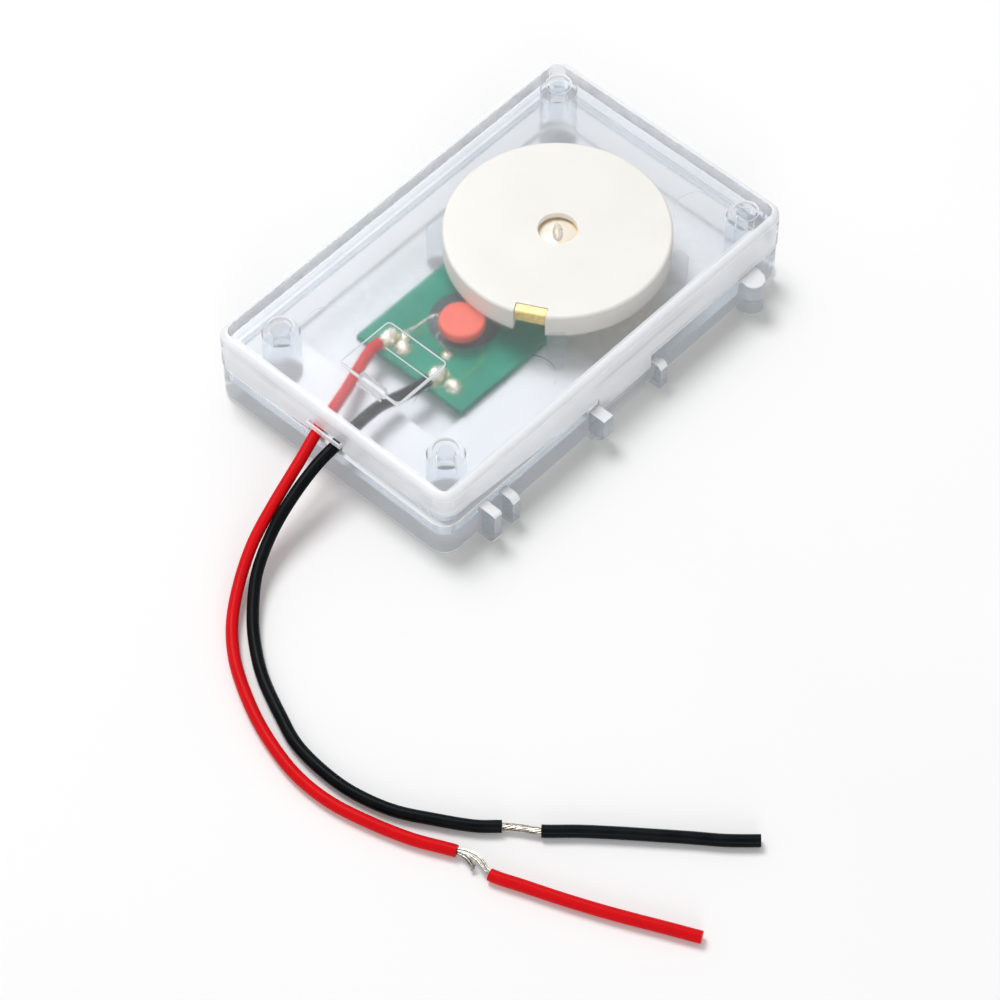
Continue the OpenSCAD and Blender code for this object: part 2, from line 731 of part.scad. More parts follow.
module black_lead_sleeve() {
    color(lead_black) lead_tube(black_points, lead_d, black_bare[1]);
}

lower_case();
upper_case();
circuit_board();
copper_tracks();
melody_chip();
chip_epoxy();
ceramic_capacitor();
capacitor_wires();
lead_solder_joints();
board_solder_dots();
speaker_housing();
brass_diaphragm();
piezo_ceramic();
centre_solder();
speaker_wires();
speaker_wire_joints();
red_lead();
red_lead_strands();
red_lead_sleeve();
black_lead();
black_lead_strands();
black_lead_sleeve();
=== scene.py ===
"""The looks of an electronic melody module: a frosted two-part case that holds a green
board and a disc speaker, with a red and a black flying lead. Lengths are in metres."""

import math

import bpy
from bpy.props import FloatProperty, FloatVectorProperty, PointerProperty
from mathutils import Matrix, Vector


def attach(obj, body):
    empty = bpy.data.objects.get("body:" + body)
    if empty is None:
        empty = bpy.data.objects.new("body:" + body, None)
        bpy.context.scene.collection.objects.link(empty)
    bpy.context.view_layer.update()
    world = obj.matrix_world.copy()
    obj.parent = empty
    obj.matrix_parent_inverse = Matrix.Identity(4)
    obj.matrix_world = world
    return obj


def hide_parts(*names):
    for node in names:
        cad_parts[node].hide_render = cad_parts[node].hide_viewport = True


bl_info = {
    "name": "Melody module",
    "version": (1, 0, 0),
    "blender": (4, 5, 0),
    "location": "3D View > Sidebar > Melody module",
    "description": "Models and finishes a melody module round its packed CAD parts",
    "category": "Add Mesh",
}

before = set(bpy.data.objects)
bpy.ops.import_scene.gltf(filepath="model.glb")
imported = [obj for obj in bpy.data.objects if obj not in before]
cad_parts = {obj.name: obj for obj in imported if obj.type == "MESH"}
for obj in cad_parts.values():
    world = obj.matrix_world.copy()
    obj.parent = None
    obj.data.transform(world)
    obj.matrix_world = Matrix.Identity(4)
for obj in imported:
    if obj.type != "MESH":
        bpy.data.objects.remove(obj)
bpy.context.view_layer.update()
MM = 0.001
TINY = 1e-6          # in metres, closer than any two edges


def linear(hex_colour):
    """An sRGB hex colour as the linear red, green and blue that Blender works in."""
    parts = [int(hex_colour[i:i + 2], 16) / 255 for i in (1, 3, 5)]
    return tuple(p / 12.92 if p <= 0.04045 else ((p + 0.055) / 1.055) ** 2.4 for p in parts)


# ---- sizes and colours that a user would change ----


class ModuleSizes(bpy.types.PropertyGroup):
    """Sizes of what is modelled round the CAD parts."""

    lead_width: FloatProperty(
        name="Lead width", description="Diameter of a lead over its insulation",
        default=1.6 * MM, min=1.2 * MM, max=1.7 * MM, unit="LENGTH")
    insulation: FloatProperty(
        name="Insulation", description="Thickness of a lead's insulation",
        default=0.32 * MM, min=0.2 * MM, max=0.5 * MM, unit="LENGTH")
    strand: FloatProperty(
        name="Strand", description="Diameter of one copper strand",
        default=0.24 * MM, min=0.1 * MM, max=0.3 * MM, unit="LENGTH")
    camera_distance: FloatProperty(
        name="Camera distance", description="From the camera to the middle of the module and its leads",
        default=523.3 * MM, min=0.3, max=2, unit="LENGTH")
    focal_length: FloatProperty(
        name="Focal length", description="Focal length of the camera, in millimetres",
        default=151.2, min=50, max=300, unit="CAMERA")


class ModuleColours(bpy.types.PropertyGroup):
    """Colours of the module's own finishes."""

    case: FloatVectorProperty(
        name="Case", description="What clear light turns to inside the frosted plastic",
        default=linear("#f8fafd"), size=3, subtype="COLOR", min=0, max=1)
    mask: FloatVectorProperty(
        name="Solder mask", description="Green lacquer of the board",
        default=linear("#0c977a"), size=3, subtype="COLOR", min=0, max=1)
    track: FloatVectorProperty(
        name="Track", description="Lacquer of the board where copper lies under it",
        default=linear("#3a9f70"), size=3, subtype="COLOR", min=0, max=1)
    capacitor: FloatVectorProperty(
        name="Capacitor", description="Dipped coat of the ceramic capacitor",
        default=linear("#ee583c"), size=3, subtype="COLOR", min=0, max=1)
    housing: FloatVectorProperty(
        name="Speaker housing", description="Moulded plastic of the speaker",
        default=linear("#f6f0e6"), size=3, subtype="COLOR", min=0, max=1)
    positive: FloatVectorProperty(
        name="Positive lead", description="Insulation of the lead to the battery's plus pole",
        default=linear("#dc1219"), size=3, subtype="COLOR", min=0, max=1)
    negative: FloatVectorProperty(
        name="Negative lead", description="Insulation of the lead to the battery's minus pole",
        default=linear("#02070a"), size=3, subtype="COLOR", min=0, max=1)


def sizes():
    """The sizes as the panel has them now."""
    return bpy.context.scene.melody_sizes


def colours():
    """The colours as the panel has them now."""
    return bpy.context.scene.melody_colours


# ---- materials ----

COOL = (0.99, 0.995, 1)      # the faint blue of light that came through the plastic


def add(tree, kind, settings=(), **links):
    """Adds a node. Settings are (socket or attribute, value) pairs, and links name the
    sockets, with _ for a space, or are given as in0, in1 by their place."""
    new = tree.nodes.new("ShaderNode" + kind)
    for name, value in settings:
        if isinstance(name, int) or name in new.inputs:
            new.inputs[name].default_value = value
        else:
            setattr(new, name, value)
    for name, source in links.items():
        key = int(name[2:]) if name[:2] == "in" and name[2:].isdigit() else name.replace("_", " ")
        tree.links.new(source, new.inputs[key])
    return new


def start(name, settings=()):
    """A new material with a Principled shader: the material, its tree, the shader and the
    Object coordinates."""
    material = bpy.data.materials.new(name)
    material.use_nodes = True
    tree = material.node_tree
    tree.nodes.clear()
    shader = add(tree, "BsdfPrincipled", settings)
    add(tree, "OutputMaterial", Surface=shader.outputs[0])
    place = add(tree, "TexCoord").outputs["Object"]
    return material, tree, shader, place


NOISE_DETAIL = 3.0           # octaves, enough for a grain that isn't round blobs
NOISE_REACH = (0.3, 0.7)     # nearly all of a noise's values lie between these


def grain(tree, place, size):
    """Noise whose features are about this size, in metres."""
    return add(tree, "TexNoise", (("Scale", 1 / size), ("Detail", NOISE_DETAIL)), Vector=place).outputs[0]


def ranged(tree, value, low, high):
    """A noise spread from low to high."""
    settings = ((1, NOISE_REACH[0]), (2, NOISE_REACH[1]), (3, low), (4, high))
    return add(tree, "MapRange", settings, in0=value).outputs[0]


def blended(tree, share, first, second):
    """Two colours blended by share."""
    settings = (("data_type", "RGBA"), (6, (*first[:3], 1)), (7, (*second[:3], 1)))
    return add(tree, "Mix", settings, in0=share).outputs[2]


def finish(tree, shader, place, shades, mottle, rough, rough_size, depth, bump_size):
    """What every moulded, cast or coated surface has: two shades that drift over mottle, a
    gloss that isn't even, and a relief of this depth. All sizes are in metres."""
    share = ranged(tree, grain(tree, place, mottle), 0, 1)
    tree.links.new(blended(tree, share, *shades), shader.inputs["Base Color"])
    gloss = ranged(tree, grain(tree, place, rough_size), *rough)
    tree.links.new(gloss, shader.inputs["Roughness"])
    height = grain(tree, place, bump_size)
    bump = add(tree, "Bump", (("Strength", 1.0), ("Distance", depth)), Height=height)
    tree.links.new(bump.outputs[0], shader.inputs["Normal"])


def scaled(colour, share):
    """A colour that much darker."""
    return tuple(c * share for c in colour[:3])


def with_surface(tree, shader):
    """Makes this shader what the material shows."""
    tree.links.new(shader.outputs[0], tree.nodes["Material Output"].inputs["Surface"])


def see_through(tree, shader, lamp_share, soft_share):
    """Lets a share of the lamps' light, and of the light between the parts, straight
    through the plastic, so that what it shuts in is lit."""
    path = add(tree, "LightPath")
    bright = add(tree, "BsdfTransparent", (("Color", (*scaled(COOL, soft_share), 1)),)).outputs[0]
    dim = add(tree, "BsdfTransparent", (("Color", (*scaled(COOL, lamp_share), 1)),)).outputs[0]
    soft = add(tree, "MixShader", in0=path.outputs["Is Diffuse Ray"], in1=shader.outputs[0], in2=bright)
    both = add(tree, "MixShader", in0=path.outputs["Is Shadow Ray"], in1=soft.outputs[0], in2=dim)
    with_surface(tree, both)


def clear_polypropylene(name, colour, haze, rough, bend, lamp_share, soft_share):
    # Injection-moulded clear polypropylene: haze is the milk in it, bend its index of
    # refraction, and its polished skin drifts a little between glossy and satin
    material, tree, shader, place = start(name, (("IOR", bend), ("Transmission Weight", 1 - haze)))
    shades = (scaled(colour, 0.97), colour)
    finish(tree, shader, place, shades, 9 * MM, (rough * 0.93, rough * 1.2), 4 * MM, 0.003 * MM, 2.5 * MM)
    see_through(tree, shader, lamp_share, soft_share)
    return material


def solder_mask(name, colour):
    # Light-cured lacquer on woven fibreglass: a deep green gloss, darker where it pools,
    # with the cloth's weave just felt through it
    material, tree, shader, place = start(name, (("IOR", 1.5), ("Specular IOR Level", 0.07)))
    finish(tree, shader, place, (scaled(colour, 0.72), colour), 5 * MM, (0.28, 0.42), 2 * MM,
           0.01 * MM, 0.5 * MM)
    return material


def tinned_foil(name):
    # Copper dipped in tin: warm grey, rather dull, with the dip's soft ripples
    material, tree, shader, place = start(name, (("Metallic", 0.8),))
    shades = (linear("#a08c66"), linear("#c4b796"))
    finish(tree, shader, place, shades, 0.8 * MM, (0.3, 0.5), 0.5 * MM, 0.01 * MM, 0.3 * MM)
    return material


def sawn_silicon(name):
    # A diced silicon wafer: dark grey with a mirror's gloss
    material, tree, shader, place = start(name, (("IOR", 3.4),))
    shades = (linear("#3c3f45"), linear("#55585f"))
    finish(tree, shader, place, shades, 0.3 * MM, (0.12, 0.2), 0.2 * MM, 0.002 * MM, 0.1 * MM)
    return material


def potting_epoxy(name):
    # A drop of black potting resin, cured in air: near black, half glossy, slightly wavy
    material, tree, shader, place = start(name, (("IOR", 1.55),))
    shades = (linear("#12262a"), linear("#1f383c"))
    finish(tree, shader, place, shades, 2 * MM, (0.3, 0.45), 1 * MM, 0.04 * MM, 1.2 * MM)
    return material


def dipped_coat(name, colour):
    # Phenolic resin that a ceramic disc was dipped in: chalky salmon red, with pinholes
    # and a coat that is thinner, so lighter, at the edges
    material, tree, shader, place = start(name, (("IOR", 1.5),))
    finish(tree, shader, place, (scaled(colour, 0.86), colour), 1.1 * MM, (0.45, 0.6), 0.6 * MM,
           0.02 * MM, 0.25 * MM)
    return material


def tin_solder(name, metal=0.7):
    # Hand-soldered tin and lead: bright, pale grey with a warm film of flux in places,
    # which makes it less metallic than clean solder
    material, tree, shader, place = start(name, (("Metallic", metal),))
    shades = (linear("#dac9a8"), linear("#f6f2ea"))
    finish(tree, shader, place, shades, 0.9 * MM, (0.18, 0.34), 0.5 * MM, 0.03 * MM, 0.5 * MM)
    return material


def set_flux(name):
    # Rosin flux that set in a thin film: pale amber, glossy, with a few waves
    material, tree, shader, place = start(name, (("IOR", 1.5),))
    shades = (linear("#fcecd0"), linear("#fff6e6"))
    finish(tree, shader, place, shades, 0.8 * MM, (0.2, 0.35), 0.6 * MM, 0.01 * MM, 0.5 * MM)
    return material


def moulded_housing(name, colour):
    # Injection-moulded ABS from a lightly sparked tool: cream, satin and fine grained
    material, tree, shader, place = start(name, (("IOR", 1.53),))
    finish(tree, shader, place, (scaled(colour, 0.965), colour), 6 * MM, (0.45, 0.58), 3 * MM,
           0.008 * MM, 0.25 * MM)
    return material


def rolled_brass(name):
    # Brass strip: yellow, satin, with the rolling's fine lines along X. It is half
    # metallic, so that it stays yellow in the shade of the notch and of the sound hole
    material, tree, shader, place = start(name, (("Metallic", 0.5),))
    lines = add(tree, "Mapping", (("Scale", (0.06, 1, 1)),), Vector=place).outputs[0]
    shades = (linear("#ecc068"), linear("#fddf94"))
    finish(tree, shader, lines, shades, 0.5 * MM, (0.42, 0.55), 0.4 * MM, 0.004 * MM, 0.12 * MM)
    return material


def fired_ceramic(name):
    # A fired piezo disc under its silvered electrode: off-white, matt and slightly sandy
    material, tree, shader, place = start(name, (("IOR", 1.6),))
    shades = (linear("#d8d3c6"), linear("#efece2"))
    finish(tree, shader, place, shades, 2.5 * MM, (0.4, 0.55), 1 * MM, 0.006 * MM, 0.15 * MM)
    return material


def enamelled_wire(name):
    # Copper wire under red polyurethane enamel: deep red brown with a wet gloss
    material, tree, shader, place = start(name, (("IOR", 1.55), ("Coat Weight", 0.6)))
    shades = (linear("#8e2a1c"), linear("#b53a26"))
    finish(tree, shader, place, shades, 1.5 * MM, (0.25, 0.35), 1 * MM, 0.003 * MM, 0.3 * MM)
    return material


def extruded_pvc(name, colour, lift):
    # Soft PVC drawn through a die: saturated colour, a faint satin sheen in soft patches,
    # and a skin that is never quite smooth. Lift greys its lighter shade a little
    material, tree, shader, place = start(name, (("IOR", 1.54), ("Specular IOR Level", 0.05)))
    finish(tree, shader, place, (scaled(colour, 0.9), tuple(c + lift for c in colour[:3])), 3 * MM,
           (0.3, 0.42), 1.5 * MM, 0.012 * MM, 0.5 * MM)
    return material


def tinned_strand(name):
    # Drawn copper wire in a thin coat of tin: bright silver with warm copper in the
    # places where the tin is thin
    material, tree, shader, place = start(name, (("Metallic", 1.0),))
    shades = (linear("#6e665b"), linear("#bab6af"))
    finish(tree, shader, place, shades, 0.5 * MM, (0.2, 0.32), 0.4 * MM, 0.004 * MM, 0.1 * MM)
    return material


# ---- modelling ----


def deselect():
    """Leaves nothing selected or active, because an operator acts on all that is."""
    bpy.ops.object.select_all(action="DESELECT")
    bpy.context.view_layer.objects.active = None


def take(piece):
    """Makes piece the one object that operators act on."""
    deselect()
    piece.select_set(True)
    bpy.context.view_layer.objects.active = piece


def hand_over(piece, name, material, slot, *nodes):
    """Names a finished piece, gives it its material, puts it in the frame and hides the
    CAD nodes that it stands for."""
    take(piece)
    bpy.ops.object.transform_apply(location=True, rotation=True, scale=True)
    piece.name = name
    piece.data.name = name
    piece.data.materials.clear()
    piece.data.materials.append(material)
    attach(piece, "root")
    if nodes:
        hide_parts(*nodes)


def apply_modifier(piece, kind, **settings):
    """Adds a modifier with these settings and applies it."""
    take(piece)
    modifier = piece.modifiers.new(kind.title(), kind)
    for name, value in settings.items():
        setattr(modifier, name, value)
    bpy.ops.object.modifier_apply(modifier=modifier.name)


def select_edges(piece, test):
    """Selects the edges whose two ends pass a test, in edit mode."""
    take(piece)
    bpy.ops.object.mode_set(mode="EDIT")
    bpy.ops.mesh.select_mode(type="EDGE")
    bpy.ops.mesh.select_all(action="DESELECT")
    bpy.ops.object.mode_set(mode="OBJECT")
    at = [v.co for v in piece.data.vertices]
    for edge in piece.data.edges:
        edge.select = test(at[edge.vertices[0]], at[edge.vertices[1]])
    bpy.ops.object.mode_set(mode="EDIT")


def round_edges(piece, radius, test, segments=4):
    """Rounds the edges whose two ends pass a test."""
    select_edges(piece, test)
    bpy.ops.mesh.bevel(offset=radius * MM, segments=segments)
    bpy.ops.object.mode_set(mode="OBJECT")


def round_rims(piece, low, high, foot, top):
    """Rounds the outlines of a piece's underside and top, which lie at low and high."""
    if foot:
        round_edges(piece, foot, lambda a, b: max(a.z, b.z) < low * MM + TINY)
    if top:
        round_edges(piece, top, lambda a, b: min(a.z, b.z) > high * MM - TINY)


def prism(low, high, upright=0, foot=0, top=0):
    """A block between two corners, in millimetres, with its upright edges and the
    outlines of its underside and top rounded."""
    low, high = Vector(low), Vector(high)
    deselect()
    bpy.ops.mesh.primitive_cube_add(size=1, location=(low + high) / 2 * MM)
    piece = bpy.context.view_layer.objects.active
    piece.scale = (high - low) * MM
    bpy.ops.object.transform_apply(location=True, rotation=True, scale=True)
    if upright:
        round_edges(piece, upright, lambda a, b: (a.xy - b.xy).length < TINY, 8)
    round_rims(piece, low.z, high.z, foot, top)
    return piece


def rod(at, width, low, high, foot=0, top=0, sides=64):
    """An upright rod, in millimetres, with the outlines of its ends rounded."""
    deselect()
    bpy.ops.mesh.primitive_cylinder_add(vertices=sides, radius=width / 2 * MM, depth=(high - low) * MM,
                                        location=Vector((*at, (low + high) / 2)) * MM)
    piece = bpy.context.view_layer.objects.active
    bpy.ops.object.transform_apply(location=True, rotation=True, scale=True)
    round_rims(piece, low, high, foot, top)
    return piece


def combine(piece, parts, how):
    """Applies parts to a piece one after the other, and removes them."""
    for part in parts:
        apply_modifier(piece, "BOOLEAN", operation=how, object=part, solver="EXACT")
        bpy.data.objects.remove(part)
    return piece


def join_on(piece, *parts):
    """Makes one solid of a piece and its parts."""
    return combine(piece, parts, "UNION")


def cut_from(piece, *tools):
    """Cuts the tools' shapes out of a piece."""
    return combine(piece, tools, "DIFFERENCE")


def turned(piece, angle, at=(0, 0, 0)):
    """Turns a piece about the upright axis through the origin, in degrees, and moves it."""
    take(piece)
    piece.rotation_euler.z = math.radians(angle)
    piece.location = Vector(at) * MM
    bpy.ops.object.transform_apply(location=True, rotation=True, scale=True)
    return piece


def ball(size, sides=48):
    """An egg of this size round the origin, in millimetres."""
    deselect()
    bpy.ops.mesh.primitive_uv_sphere_add(segments=sides, ring_count=sides // 2, radius=0.5)
    piece = bpy.context.view_layer.objects.active
    piece.scale = Vector(size) * MM
    bpy.ops.object.transform_apply(location=True, rotation=True, scale=True)
    return piece


def lumpy(piece, depth, size):
    """Gives a blob or coat the slow unevenness it set with."""
    swell = bpy.data.textures.new("swell", "CLOUDS")
    swell.noise_scale = size * MM
    apply_modifier(piece, "DISPLACE", texture=swell, texture_coords="LOCAL", strength=depth * MM)
    return piece


def dome(at, z, width, height, sides=48, depth=0.0, size=1.0):
    """A drop that set on a flat face, in millimetres."""
    across = (width ** 2 / 4 + height ** 2) / height
    drop = turned(ball([across] * 3, sides), 0, (*at, z + height - across / 2))
    if depth:
        lumpy(drop, depth, size)
    slice_off(drop, (0, 0, z), (0, 0, -1))
    return drop


def join_up(pieces):
    """One mesh of several loose parts."""
    deselect()
    for piece in pieces:
        piece.select_set(True)
    bpy.context.view_layer.objects.active = pieces[0]
    bpy.ops.object.join()
    return pieces[0]


def slice_off(piece, at, normal):
    """Cuts off what lies beyond a plane, on its normal's side, and closes the cut."""
    take(piece)
    bpy.ops.object.mode_set(mode="EDIT")
    bpy.ops.mesh.select_all(action="SELECT")
    bpy.ops.mesh.bisect(plane_co=Vector(at) * MM, plane_no=normal, use_fill=True, clear_outer=True,
                        threshold=TINY)
    bpy.ops.object.mode_set(mode="OBJECT")


def smooth_shell(piece, angle=35):
    """Merges what a cut left double, smooths the rounded edges and keeps flat faces flat."""
    take(piece)
    bpy.ops.object.mode_set(mode="EDIT")
    bpy.ops.mesh.select_all(action="SELECT")
    bpy.ops.mesh.remove_doubles(threshold=0.002 * MM)
    bpy.ops.mesh.normals_make_consistent(inside=False)
    bpy.ops.object.mode_set(mode="OBJECT")
    bpy.ops.object.shade_smooth_by_angle(angle=math.radians(angle))
    apply_modifier(piece, "WEIGHTED_NORMAL", keep_sharp=True)


def dress(node, material):
    """Gives a CAD node its material."""
    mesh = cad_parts[node].data
    mesh.materials.clear()
    mesh.materials.append(material)


# ---- leads ----

# Points along each lead from its solder joint to its far end, in millimetres, and where
# its strands lie bare
RED_ROUTE = (
    (-15.25, 7.5, 4.9), (-17.2, 7.35, 4.95), (-20.5, 6.2, 5.3), (-24.5, 4.6, 5.9),
    (-28.5, 3.2, 6.6), (-32.5, 2, 6.95), (-37, 0.7, 6.3), (-43, -0.7, 4.8), (-48, -2.1, 3.4),
    (-52.5, -4.2, 2.2), (-57, -7.2, 1.4), (-60.3, -10.5, 1), (-63, -14.5, 0.9),
    (-65.7, -20, 0.9), (-67.5, -25.5, 0.9), (-68.3, -30, 0.9), (-68.2, -35, 0.9),
    (-67, -40.5, 0.9), (-65.3, -45.7, 0.9), (-63, -50.6, 0.9), (-62.5, -53.1, 0.9),
    (-62.7, -55.7, 0.9), (-61.1, -59.9, 0.9), (-59.5, -64, 0.9), (-57.8, -68, 0.9),
    (-56, -71.9, 0.9), (-54.1, -75.8, 0.9), (-52.2, -79.8, 0.9))
RED_BARE = (19, 21)          # between these points of the route
BLACK_ROUTE = (
    (-15.45, -1.3, 4.9), (-17.5, -1.2, 4.95), (-20, -0.8, 5.3), (-23.5, -0.3, 5.9),
    (-28, -0.7, 6.6), (-32.5, -1.2, 6.95), (-36, -1.3, 6.4), (-41, -2, 5.3), (-46, -3.2, 3.8),
    (-51, -5.5, 2.5), (-55.3, -9, 1.5), (-58.3, -12.4, 1), (-61, -16.5, 0.9), (-63.5, -22, 0.9),
    (-65, -26, 0.9), (-65.6, -30.7, 0.9), (-65.4, -35.7, 0.9), (-64, -41, 0.9),
    (-61.6, -45.5, 0.9), (-59, -49.7, 0.9), (-56.8, -52.2, 0.9), (-55.4, -54.1, 0.9),
    (-54.1, -56.1, 0.9), (-51, -59.5, 0.9), (-48.1, -63, 0.9), (-45.4, -66.4, 0.9),
    (-42.8, -69.7, 0.9), (-40.2, -73.1, 0.9), (-37.4, -76.2, 0.9))
BLACK_BARE = (20, 22)        # between these points of the route
STEPS = 6            # points from one point of a route to the next
BARE_STEPS = 10      # the same where the strands lie bare, because they bend more
FRAYED_SHARE = 0.66  # how far along the bare stretch the shorter strands reach

# How the red lead's strands lie beside its line, to the right and up: those that bow out
# to the other end, and those that end short of it
RED_BOWED = (((-0.3, 0.1), (-1.1, 0.4), (-0.3, 0.1)), ((-0.2, 0.3), (-0.8, 0.5), (-0.2, 0.3)),
             ((-0.1, -0.1), (-0.5, 0.1), (0, -0.1)), ((0, 0.2), (-0.1, 0.5), (0.1, 0.2)))
RED_FRAYED = (((0.1, -0.2), (0.1, 0), (0.7, -0.2)), ((0.25, 0.05), (0.35, 0.2), (0.9, -0.1)),
              ((0.3, -0.2), (0.3, -0.1), (1.1, -0.35)), ((0.1, 0.3), (0.1, 0.5), (0.55, 0.2)))


def smooth_line(points, first, last, steps=STEPS):
    """The Catmull-Rom curve through all the points, from one of them to another, in
    metres."""
    p = [Vector(q) * MM for q in points]
    end = len(p) - 1
    line = []
    for i in range(first, last):
        a, b, c, d = p[max(i - 1, 0)], p[i], p[i + 1], p[min(i + 2, end)]
        for k in range(steps):
            t = k / steps
            line.append(0.5 * (2 * b + (c - a) * t + (2 * a - 5 * b + 4 * c - d) * t ** 2
                               + (3 * b - a - 3 * c + d) * t ** 3))
    return line + [p[last]]


def tube(name, lines, radius, sides=16):
    """A mesh of round tubes along lines, with closed ends."""
    curve = bpy.data.curves.new(name, "CURVE")
    curve.dimensions = "3D"
    curve.bevel_depth = radius
    curve.bevel_resolution = sides // 4 - 1
    curve.use_fill_caps = True
    curve.twist_mode = "MINIMUM"
    for line in lines:
        spline = curve.splines.new("POLY")
        spline.points.add(len(line) - 1)
        for point, at in zip(spline.points, line):
            point.co = (*at, 1)
    piece = bpy.data.objects.new(name, curve)
    bpy.context.scene.collection.objects.link(piece)
    take(piece)
    bpy.ops.object.convert(target="MESH")
    piece = bpy.context.view_layer.objects.active
    bpy.ops.object.mode_set(mode="EDIT")
    bpy.ops.mesh.select_all(action="SELECT")
    bpy.ops.mesh.remove_doubles(threshold=0.001 * MM)
    bpy.ops.mesh.normals_make_consistent(inside=False)
    bpy.ops.object.mode_set(mode="OBJECT")
    bpy.ops.object.shade_smooth_by_angle(angle=math.radians(40))
    return piece


def select_faces(piece, test):
    """Selects the faces whose centre passes a test, in edit mode."""
    take(piece)
    bpy.ops.object.mode_set(mode="EDIT")
    bpy.ops.mesh.select_mode(type="FACE")
    bpy.ops.mesh.select_all(action="DESELECT")
    bpy.ops.object.mode_set(mode="OBJECT")
    for face in piece.data.polygons:
        face.select = test(face.center)
    bpy.ops.object.mode_set(mode="EDIT")


MOUTH_RIM = 0.06 * MM        # a narrow ring that keeps the cut edge of a jacket crisp
MOUTH_DEPTH = 0.5 * MM


def open_mouth(piece, at, wall):
    """Sinks the flat end of a jacket, so that its wall shows round the strands."""
    select_faces(piece, lambda centre: (centre - at).length < 0.05 * MM)
    bpy.ops.mesh.inset(thickness=MOUTH_RIM)
    bpy.ops.mesh.inset(thickness=wall - MOUTH_RIM)
    bpy.ops.mesh.extrude_region_shrink_fatten(TRANSFORM_OT_shrink_fatten={"value": -MOUTH_DEPTH})
    bpy.ops.object.mode_set(mode="OBJECT")


def side_frame(ahead):
    """Two directions square to a line's heading: level, and up from it."""
    level = ahead.cross(Vector((0, 0, 1))).normalized()
    return level, level.cross(ahead)


def beside(line, offset_at, share=1.0):
    """A strand that runs along a share of line, at offsets to its right and up that
    offset_at gives, in millimetres, for how far along the strand it is."""
    count = round((len(line) - 1) * share)
    out = []
    for i in range(count + 1):
        ahead = (line[min(i + 1, len(line) - 1)] - line[max(i - 1, 0)]).normalized()
        level, up = side_frame(ahead)
        right, rise = offset_at(i / count)
        out.append(line[i] + (right * level + rise * up) * MM)
    return out


def wound(reach, start_turn, turns):
    """Offsets that wind round the middle."""
    def offset_at(t):
        turn = start_turn + turns * math.tau * t
        return reach * math.cos(turn), reach * math.sin(turn)
    return offset_at


def swung(start_at, swing, end_at):
    """Offsets that leave start_at, swing out and come to end_at."""
    return lambda t: tuple(a * (1 - t) ** 2 + 2 * b * t * (1 - t) + c * t * t
                           for a, b, c in zip(start_at, swing, end_at))


class LeadMaker:
    """What the two leads have in common."""

    def make_lead(self, colour_name, colour, lift, route, bare, strands):
        width = sizes().lead_width
        jacket_line = smooth_line(route, 0, bare[0])
        sleeve_line = smooth_line(route, bare[1], len(route) - 1)
        insulation = extruded_pvc(f"extruded {colour_name} PVC", colour, lift)
        slot = f"{colour_name}_insulation"
        jacket = tube(f"{colour_name}_jacket", [jacket_line], width / 2)
        open_mouth(jacket, jacket_line[-1], sizes().insulation)
        sleeve = tube(f"{colour_name}_end_sleeve", [sleeve_line], width / 2)
        open_mouth(sleeve, sleeve_line[0], sizes().insulation)
        hand_over(jacket, f"{colour_name}_jacket", insulation, slot, f"{colour_name}_lead")
        hand_over(sleeve, f"{colour_name}_end_sleeve", insulation, slot, f"{colour_name}_lead_sleeve")
        wires = tube(f"{colour_name}_strands", strands, sizes().strand / 2, 8)
        hand_over(wires, f"{colour_name}_strands", tinned_strand(f"{colour_name} tinned strands"),
                  "tinned_strands", f"{colour_name}_lead_strands")


class MELODY_OT_red_lead(LeadMaker, bpy.types.Operator):
    """Model the red lead with its bared strands and end sleeve"""

    bl_idname = "melody.red_lead"
    bl_label = "Red lead"

    def execute(self, context):
        line = smooth_line(RED_ROUTE, *RED_BARE, steps=BARE_STEPS)
        strands = [beside(line, swung(*offsets)) for offsets in RED_BOWED]
        strands += [beside(line, swung(*offsets), FRAYED_SHARE) for offsets in RED_FRAYED]
        self.make_lead("red", colours().positive, 0.0, RED_ROUTE, RED_BARE, strands)
        return {"FINISHED"}


class MELODY_OT_black_lead(LeadMaker, bpy.types.Operator):
    """Model the black lead with its bared strands and end sleeve"""

    bl_idname = "melody.black_lead"
    bl_label = "Black lead"

    def execute(self, context):
        # eight strands wind round three
        line = smooth_line(BLACK_ROUTE, *BLACK_BARE, steps=BARE_STEPS)
        strands = [beside(line, wound(0.36, math.tau * k / 8, 0.6)) for k in range(8)]
        strands += [beside(line, wound(0.12, math.tau * k / 3, 0.4)) for k in range(3)]
        self.make_lead("black", colours().negative, 0.004, BLACK_ROUTE, BLACK_BARE, strands)
        return {"FINISHED"}


# ---- case ----

# Sizes of the case's CAD parts, in millimetres. Of each outline half its length and width
# is given, because the case's middle is the origin.
LID = (32.5, 20.25)
LID_ROOM = (31, 18.75)
LIP_ROOM = (31.75, 19.5)     # the lid's rim is thinner, to take the base's lip
BASE = (32.4, 20.15)
BASE_LIP = (31.6, 19.35)
BASE_ROOM = (30.9, 18.65)
CORNER = 2.5
LID_EDGE = 6.15
LIP_ROOM_TOP = 8.4
LID_UNDER = 10.5
LID_TOP = 12
RECESS_FLOOR = 11.5
BASE_TOP = 6
BASE_LIP_TOP = 8.2
BASE_FLOOR = 1.5
SHELF_TOP = 3
PINS = ((-26, -14.35), (-26, 14.35), (28.7, -16.35), (28.7, 16.35))
PIN_WIDTH = 2.4
PIN_TOP = 11.3
BORE_WIDTH = PIN_WIDTH + 0.12
RECESS_WIDTH = 3.2
BOSS_WIDTH = 5
BOSS_FOOT = 6.9              # where the lid's bosses stand on the base's pillars
LIFT = 2                     # of the lid at the corner between the leads and the latch
LIFTED_CORNER = (-LID[0], -LID[1], LID_EDGE + LIFT)
LIFT_SLOPE = (LIFT / 20.5, LIFT / 32.25)     # along X and along Y
